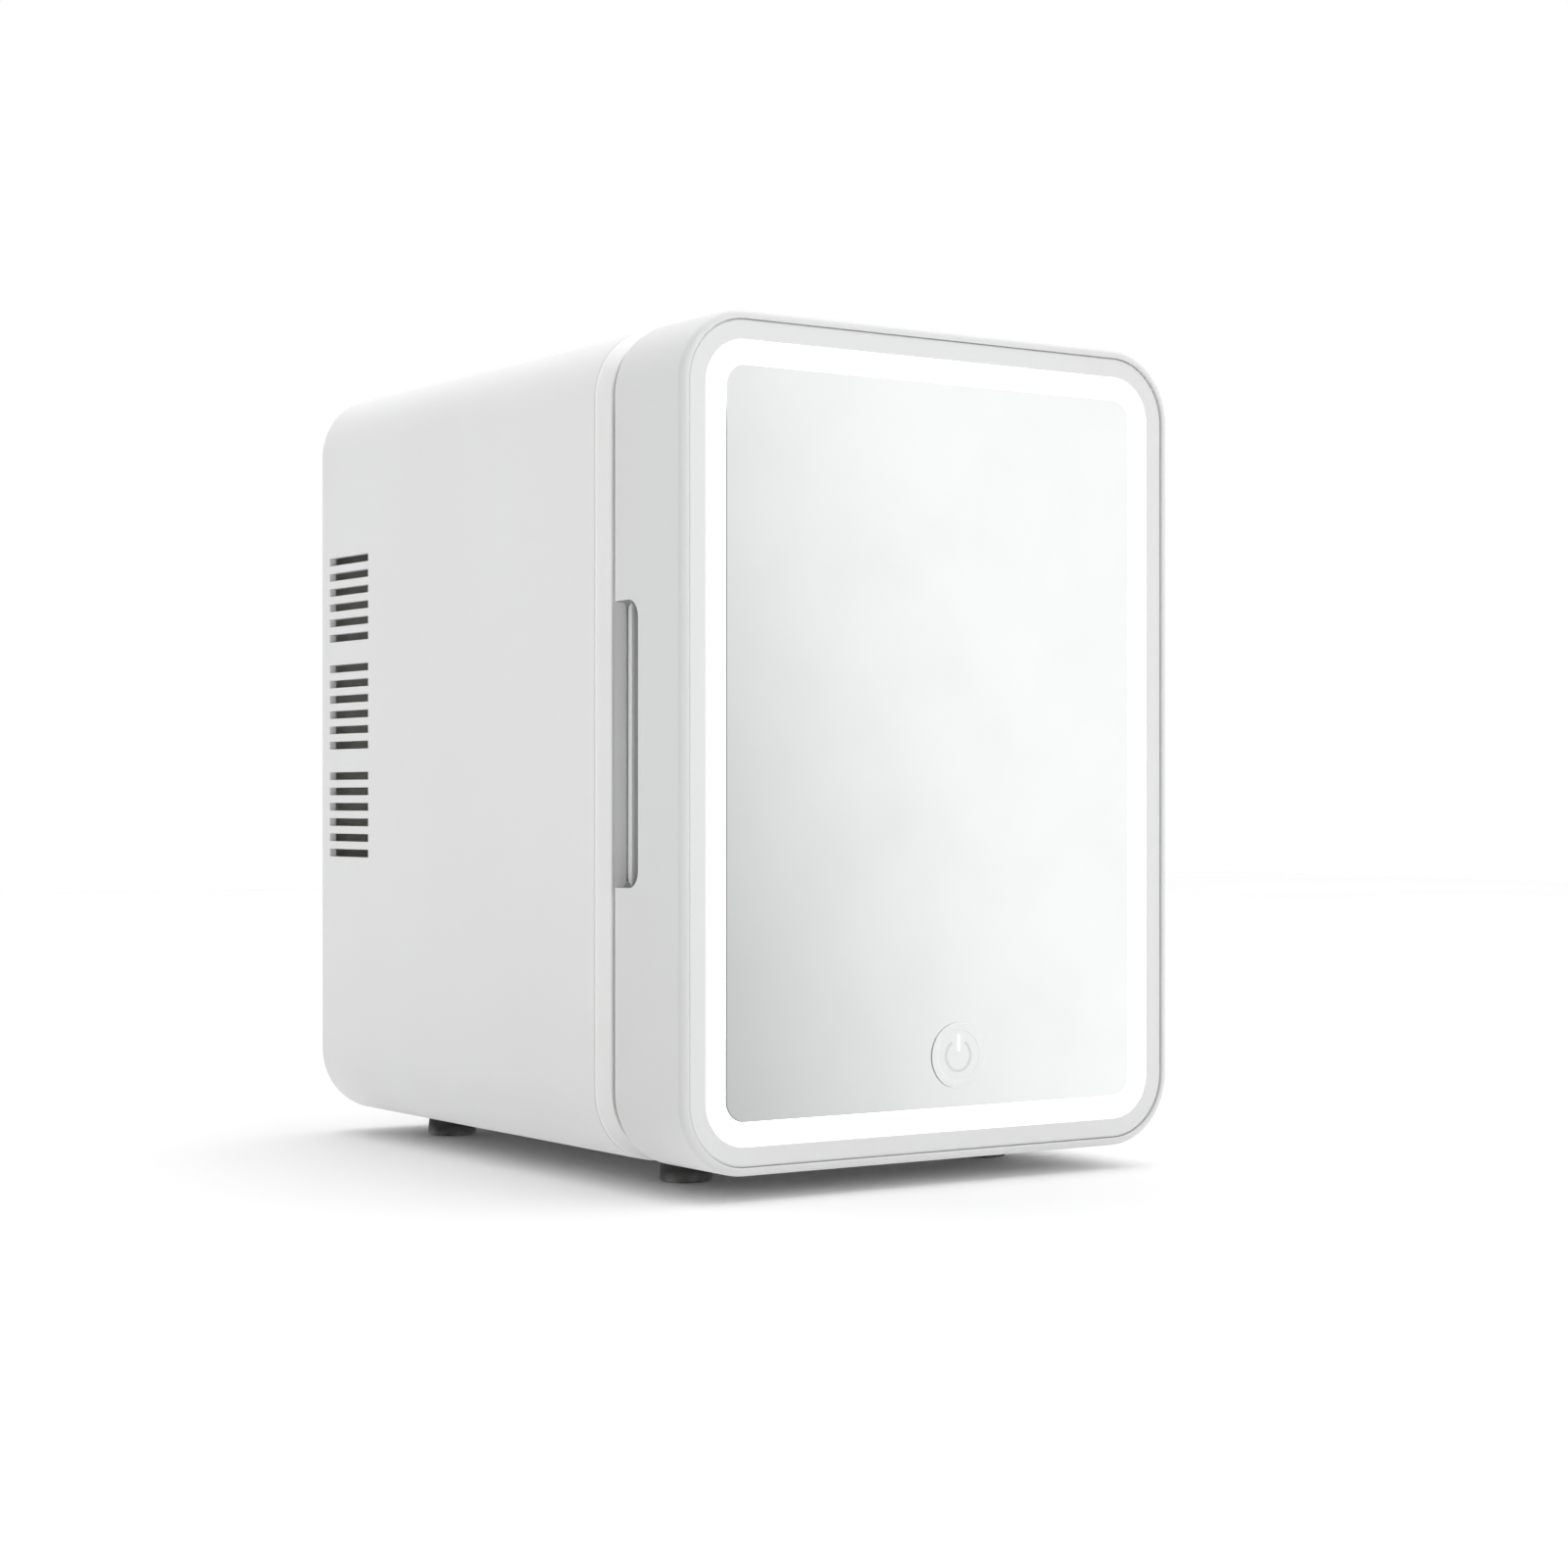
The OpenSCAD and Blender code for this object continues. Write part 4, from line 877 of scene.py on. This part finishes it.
def door_casing():
    """Door casing with a channel behind the light ring, room for the hinges and the finger notch."""
    section = rounded([
        (18, MIRROR_BACK, 0), (16, MIRROR_BACK, 0.3), (16, 10, 0.4), (5.5, 10, 0.4), (5.5, MIRROR_BACK, 0.3),
        (2.45, MIRROR_BACK, 0.2), (2.45, 0, 0.3), (0, 0, 2.1), (0, DOOR_END, 4.9), (6, DOOR_END, 0.4),
        (6, 33, 0.2), (2.4, 33, 0.3), (2.4, 12, 0.5), (18, 12, 0.3), (18, 6.3, 0)], closed=False)
    bm = bmesh.new()
    add_loft(bm, BODY, section, closed=False)
    blocks = bmesh.new()
    for z in HINGE_Z:
        add_box(blocks, (73, WIDTH / 2 - 1.2), (11.5, 36), (z - 18, z + 18))
    add_box(blocks, (-WIDTH / 2 + 1.2, -72), (11.5, 36), (MIDDLE_Z - 44, MIDDLE_Z + 44))
    pockets = bmesh.new()
    for z in HINGE_Z:
        add_box(pockets, (HINGE_X - HINGE_POCKET, WIDTH / 2 + 1), (HINGE_S - HINGE_POCKET, 40),
                (z - HINGE_POCKET_Z, z + HINGE_POCKET_Z))
        add_rod(pockets, HINGE_X, HINGE_S, 2, z - 16, z + 16, axis="z", steps=48)
    finger_notch(pockets)
    casing = make("door_casing", bm, "door", DOOR_WHITE, ["door_shell"], pockets, blocks, 0.45)
    # The faces inside the finger notch get the dark grey material, which is painted shade in the recess.
    casing.data.materials.append(NOTCH_PAINTED_SHADE)
    for face in casing.data.polygons:
        depth = face.center.x / MM + WIDTH / 2
        station = face.center.y / MM - FRONT
        rise = abs(face.center.z / MM - MIDDLE_Z)
        inside = 0.9 < depth < NOTCH_DEEP + 0.5 and NOTCH_FRONT - 1 < station < DOOR_END - 0.1
        if inside and rise < NOTCH_HEIGHT / 2 + 0.5:
            face.material_index = 1


def door_front():
    """Bezel, light ring and mirror, one inside the other."""
    bezel = bmesh.new()
    add_loft(bezel, BODY, rounded([
        (2.47, 0.5, 0.9), (8.2, 0.5, 0.25), (8.2, MIRROR_BACK, 0.2), (2.47, MIRROR_BACK, 0.2)]))
    make("mirror_bezel", bezel, "door", BEZEL_GREY, ["bezel_frame"], edge=0)
    ring = bmesh.new()
    add_loft(ring, BODY, rounded([
        (8.3, 0.7, 0.5), (14.5, 0.7, 0.5), (14.5, MIRROR_BACK, 0.2), (8.3, MIRROR_BACK, 0.2)]))
    make("light_ring", ring, "door", RING_GLOW, ["light_diffuser"], edge=0)
    pane = bmesh.new()
    add_loft(pane, BODY, [(15.2, 0.9), (14.65, 1.4), (14.6, MIRROR_BACK)], closed=False)
    make("mirror_pane", pane, "door", MIRROR_SILVER, ["mirror_glass"], edge=0)


def touch_pad():
    """Touch button with a raised rim and the generic power sign."""
    disc = bmesh.new()
    add_loft(disc, Circle(TOUCH_X, TOUCH_Z, steps=96), rounded([
        (0.5, 0.52, 0), (7.2, 0.52, 0.6), (7.6, 0.36, 0.4), (9.5, 0.36, 0.25), (9.5, 0.9, 0)],
        closed=False), closed=False)
    make("touch_disc", disc, "door", TOUCH_WHITE, ["touch_button"], edge=0)
    sign = bmesh.new()
    radius, width, gap = 4.4, 0.8, math.radians(32)
    steps = 40
    arc = [math.pi / 2 + gap + (2 * math.pi - 2 * gap) * i / steps for i in range(steps + 1)]
    outside, inside = ([(TOUCH_X + r * math.cos(a), TOUCH_Z + r * math.sin(a)) for a in arc]
                       for r in (radius + width / 2, radius - width / 2))
    add_prism(sign, outside + inside[::-1], 0.42, 0.56, axis="y")
    make("touch_arc", sign, "door", TOUCH_ARC, edge=0.05)
    stroke = bmesh.new()
    add_solid(stroke, Outline(width, 4.8, 0.38, u=TOUCH_X, v=TOUCH_Z + 3.6), 0.4, 0.56)
    make("touch_stroke", stroke, "door", TOUCH_MARK, edge=0.05)


def gasket():
    """Door gasket with a high outer lip and a lower inner one."""
    outline = Outline(156, 218, 17, v=MIDDLE_Z)
    bm = bmesh.new()
    add_loft(bm, outline, rounded([
        (0, 38.4, 0.1), (0.2, 39.2, 0.2), (0.1, 40.65, 0.7), (3.1, 40.65, 0.8), (3.4, 39.3, 0.35),
        (4.2, 39.3, 0.35), (4.6, 40.25, 0.5), (6.6, 40.25, 0.6), (7, 38.4, 0.1)]))
    make("gasket_bellows", bm, "door", GASKET_GREY, ["door_gasket"], edge=0)


def door_liner():
    """Inner face of the door with a raised rim round its recess, and the pegs of the bin."""
    bm = bmesh.new()
    add_loft(bm, BODY, rounded([(8, 36.1, 0), (6.1, 36.1, 0.2), (6.1, DOOR_END, 0.4), (8, DOOR_END, 0)],
                               closed=False), closed=False)
    plug = Outline(124, 186, 10, v=MIDDLE_Z)
    add_loft(bm, plug, rounded([
        (-2.2, 38.2, 0), (-2.2, 38.52, 0), (0, 38.52, 1.6), (0.3, 48, 1.5), (2.9, 48, 0.9),
        (3.3, 38.52, 2.4), (8, 38.52, 0), (8, 38.2, 0)]))
    for side in (-1, 1):
        add_solid(bm, Outline(2.2, 3.5, 0.8, u=side * 58.6, v=94.2), 43, 47, edge=0.5)
    recesses = bmesh.new()
    for z in HINGE_Z:
        add_box(recesses, (HINGE_X - HINGE_POCKET, WIDTH / 2), (30, 40),
                (z - HINGE_POCKET_Z, z + HINGE_POCKET_Z))
    make("door_liner", bm, "door", LINER_WHITE, ["door_inner_panel"], cut=recesses, edge=0.2)


def door_basket():
    """Clear bin that hangs on the inside of the door."""
    start, end, low, high, wall, half = 38.7, 68, 38, 98, 1.8, 57
    outline = Outline(2 * half, end - start, 5, v=(start + end) / 2, axis="z")
    bm = bmesh.new()
    add_loft(bm, outline, rounded([
        (8, low, 0), (0, low, 2.5), (0, high, 0.6), (wall, high, 0.6), (wall, low + wall, 2),
        (8, low + wall, 0)], closed=False), closed=False)
    away = bmesh.new()
    add_prism(away, [(end + 2, 70), (end - 2, 70), (46, high), (46, high + 3), (end + 2, high + 3)],
              -half - 2, half + 2)
    hooks = bmesh.new()
    for side in (-1, 1):
        add_prism(hooks, [(40, 97.6), (40, 90), (42.6, 90), (42.6, 96), (46, 96), (46, 97.6)],
                  side * (half - 0.4), side * (half + 2.2))
    make("door_basket", bm, "bin", CLEAR_PLASTIC, ["door_bin"], away, hooks, edge=0.35)


def shelf_tray():
    """Clear shelf with two rows of slots and a lip at its front edge."""
    z0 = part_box("shelf")[0].z / MM
    start, end = 66, 151
    outline = Outline(136, end - start, 4, v=(start + end) / 2, axis="z")
    bm = bmesh.new()
    add_solid(bm, outline, z0, z0 + 4, edge=0.8)
    lip = bmesh.new()
    add_solid(lip, Outline(124, 5.5, 1.6, v=z0 + 5.25), start, start + 2, edge=0.7)
    slots = bmesh.new()
    for i in range(11):
        for row in (-1, 1):
            slot = Outline(7, 31, 3.4, u=(i - 5) * 11.4, v=(start + end) / 2 + row * 19, axis="z")
            add_loft(slots, slot, [
                (0.5, z0 - 1), (-0.5, z0 - 1), (-0.5, z0), (0, z0 + 0.5),
                (0, z0 + 3.5), (-0.5, z0 + 4), (-0.5, z0 + 7), (0.5, z0 + 7)], closed=False)
    make("shelf_tray", bm, "shelf", CLEAR_PLASTIC, ["shelf"], cut=slots, join=lip, edge=0)


def dress_frame():
    """Materials of the CAD nodes that stay as they are."""
    for node, material, edge in (
            ("foam_jacket", FOAM_CREAM, 0), ("door_foam", FOAM_CREAM, 0),
            ("upper_hinge_bracket", PRESSED_STEEL, 0.4), ("lower_hinge_bracket", PRESSED_STEEL, 0.4),
            ("strike_plates", PRESSED_STEEL, 0.15), ("door_magnets", CORE_DARK, 0.3),
            ("upper_hinge_pin", BRASS, 0.3), ("lower_hinge_pin", BRASS, 0.3),
            ("cold_sink", FINNED, 0), ("hot_sink", FINNED, 0), ("cold_block", FINNED, 0.4),
            ("peltier_module", CERAMIC, 0.2), ("cold_fan_frame", BLACK_PLASTIC, 0.3),
            ("hot_fan_frame", BLACK_PLASTIC, 0.4), ("ac_inlet", BLACK_PLASTIC, 0.35),
            ("dc_inlet", BLACK_PLASTIC, 0.35), ("switch_housing", BLACK_PLASTIC, 0.3),
            ("ac_pins", BRASS, 0.5), ("dc_pins", BRASS, 0.45), ("power_board", BOARD_GREEN, 0),
            ("control_board", BOARD_GREEN, 0), ("touch_board", BOARD_GREEN, 0.1),
            ("light_board", BOARD_WHITE, 0.1), ("light_chips", CHIP_YELLOW, 0.1)):
        dress(node, material, edge)


# Studio

CAMERA_SPOT = (-0.515, -0.796, 0.1105)
CAMERA_TURN = math.atan2(0.561, 0.828)
CAMERA_LENS = 68.3
CAMERA_SHIFT = 0.01
GRADIENT_AXIS = (0.766, 0.575, 0.287)
GRADIENT = (-0.2, 0.05, 0.31, 1.03)      # from and to along the axis, then the brightness at each
ZENITH = (0.3, 1.0, 1.0, 1.5)            # the same along the vertical


def floor():
    """Pale paper floor, which glossy surfaces don't reflect."""
    bm = bmesh.new()
    bmesh.ops.create_grid(bm, x_segments=2, y_segments=2, size=2.6)
    thing = new_object("floor", bm)
    finish = Finish("floor_paper", Specular_IOR_Level=0.0)
    finish.colour(finish.mixed(finish.noise(300), (0.93, 0.93, 0.93), (0.95, 0.95, 0.95)))
    finish.roughness(finish.noise(40), 0.75, 0.9)
    finish.relief((finish.noise(2), 0.02, 0.2))
    thing.data.materials.append(finish.material)
    thing.visible_glossy = False


def area_light(name, spot, target, size, power):
    """Rectangular lamp in metres and watts, turned towards its target."""
    light = bpy.data.lights.new(name, "AREA")
    light.shape, light.size, light.size_y, light.energy = "RECTANGLE", size[0], size[1], power
    thing = bpy.data.objects.new(name, light)
    thing.location = spot
    thing.rotation_mode = "QUATERNION"
    thing.rotation_quaternion = (Vector(target) - Vector(spot)).to_track_quat("-Z", "Y")
    thing.visible_camera = False
    bpy.context.scene.collection.objects.link(thing)


def world():
    """Surround that darkens towards the lower front left and brightens overhead.

    The camera itself sees plain white behind the object.
    """
    surround = bpy.data.worlds.new("studio")
    surround.use_nodes = True
    bpy.context.scene.world = surround
    tree = surround.node_tree
    background = tree.nodes["Background"]
    direction = tree.nodes.new("ShaderNodeTexCoord").outputs["Generated"]
    towards = tree.nodes.new("ShaderNodeVectorMath")
    towards.operation = "DOT_PRODUCT"
    towards.inputs[1].default_value = GRADIENT_AXIS
    tree.links.new(direction, towards.inputs[0])
    split = tree.nodes.new("ShaderNodeSeparateXYZ")
    tree.links.new(direction, split.inputs["Vector"])
    fades = []
    for value, numbers in ((towards.outputs["Value"], GRADIENT), (split.outputs["Z"], ZENITH)):
        fade = tree.nodes.new("ShaderNodeMapRange")
        fade.interpolation_type = "SMOOTHSTEP"
        tree.links.new(value, fade.inputs["Value"])
        for socket, number in zip(("From Min", "From Max", "To Min", "To Max"), numbers):
            fade.inputs[socket].default_value = number
        fades.append(fade.outputs["Result"])
    both = tree.nodes.new("ShaderNodeMath")
    both.operation = "MULTIPLY"
    for fade, socket in zip(fades, both.inputs):
        tree.links.new(fade, socket)
    seen = tree.nodes.new("ShaderNodeLightPath")
    choose = tree.nodes.new("ShaderNodeMix")
    tree.links.new(seen.outputs["Is Camera Ray"], choose.inputs["Factor"])
    tree.links.new(both.outputs["Value"], choose.inputs[2])
    choose.inputs[3].default_value = 1.0
    tree.links.new(choose.outputs[0], background.inputs["Strength"])
    background.inputs["Color"].default_value = (1, 1, 1, 1)


def camera():
    data = bpy.data.cameras.new("camera")
    data.lens, data.sensor_width, data.shift_y = CAMERA_LENS, 36, CAMERA_SHIFT
    data.clip_start, data.clip_end = 0.01, 50
    thing = bpy.data.objects.new("camera", data)
    thing.location = CAMERA_SPOT
    thing.rotation_euler = (math.pi / 2, 0, -CAMERA_TURN)
    bpy.context.scene.collection.objects.link(thing)
    bpy.context.scene.camera = thing


camera()
world()
area_light("overhead", (0.1, 0.15, 1.5), (0, 0, 0.1), (1.8, 1.8), 4)
area_light("left_strip", (-1.25, -0.95, 0.5), (0, 0, 0.13), (0.12, 1.2), 1.7)
area_light("front_fill", (0.3, -1.9, 0.9), (0, 0, 0.13), (0.9, 0.9), 5)
floor()
bpy.context.scene.view_settings.view_transform = "Standard"

cabinet_casing()
front_collar()
liner_tub()
screws()
rubber_feet()
fan_shroud()
rotor("exhaust_fan", "hot_fan_rotor", "hot_rotor", 17, 36.6, (213.2, 224.4), 15, 1.1, False)
rotor("inner_fan", "cold_fan_rotor", "cold_rotor", 9.5, 21.8, (162.8, 169.8), 9, 0.8, True)
wires()
board_parts()
back_panel()
mode_slider()
door_casing()
door_front()
touch_pad()
gasket()
door_liner()
door_basket()
shelf_tray()
dress_frame()
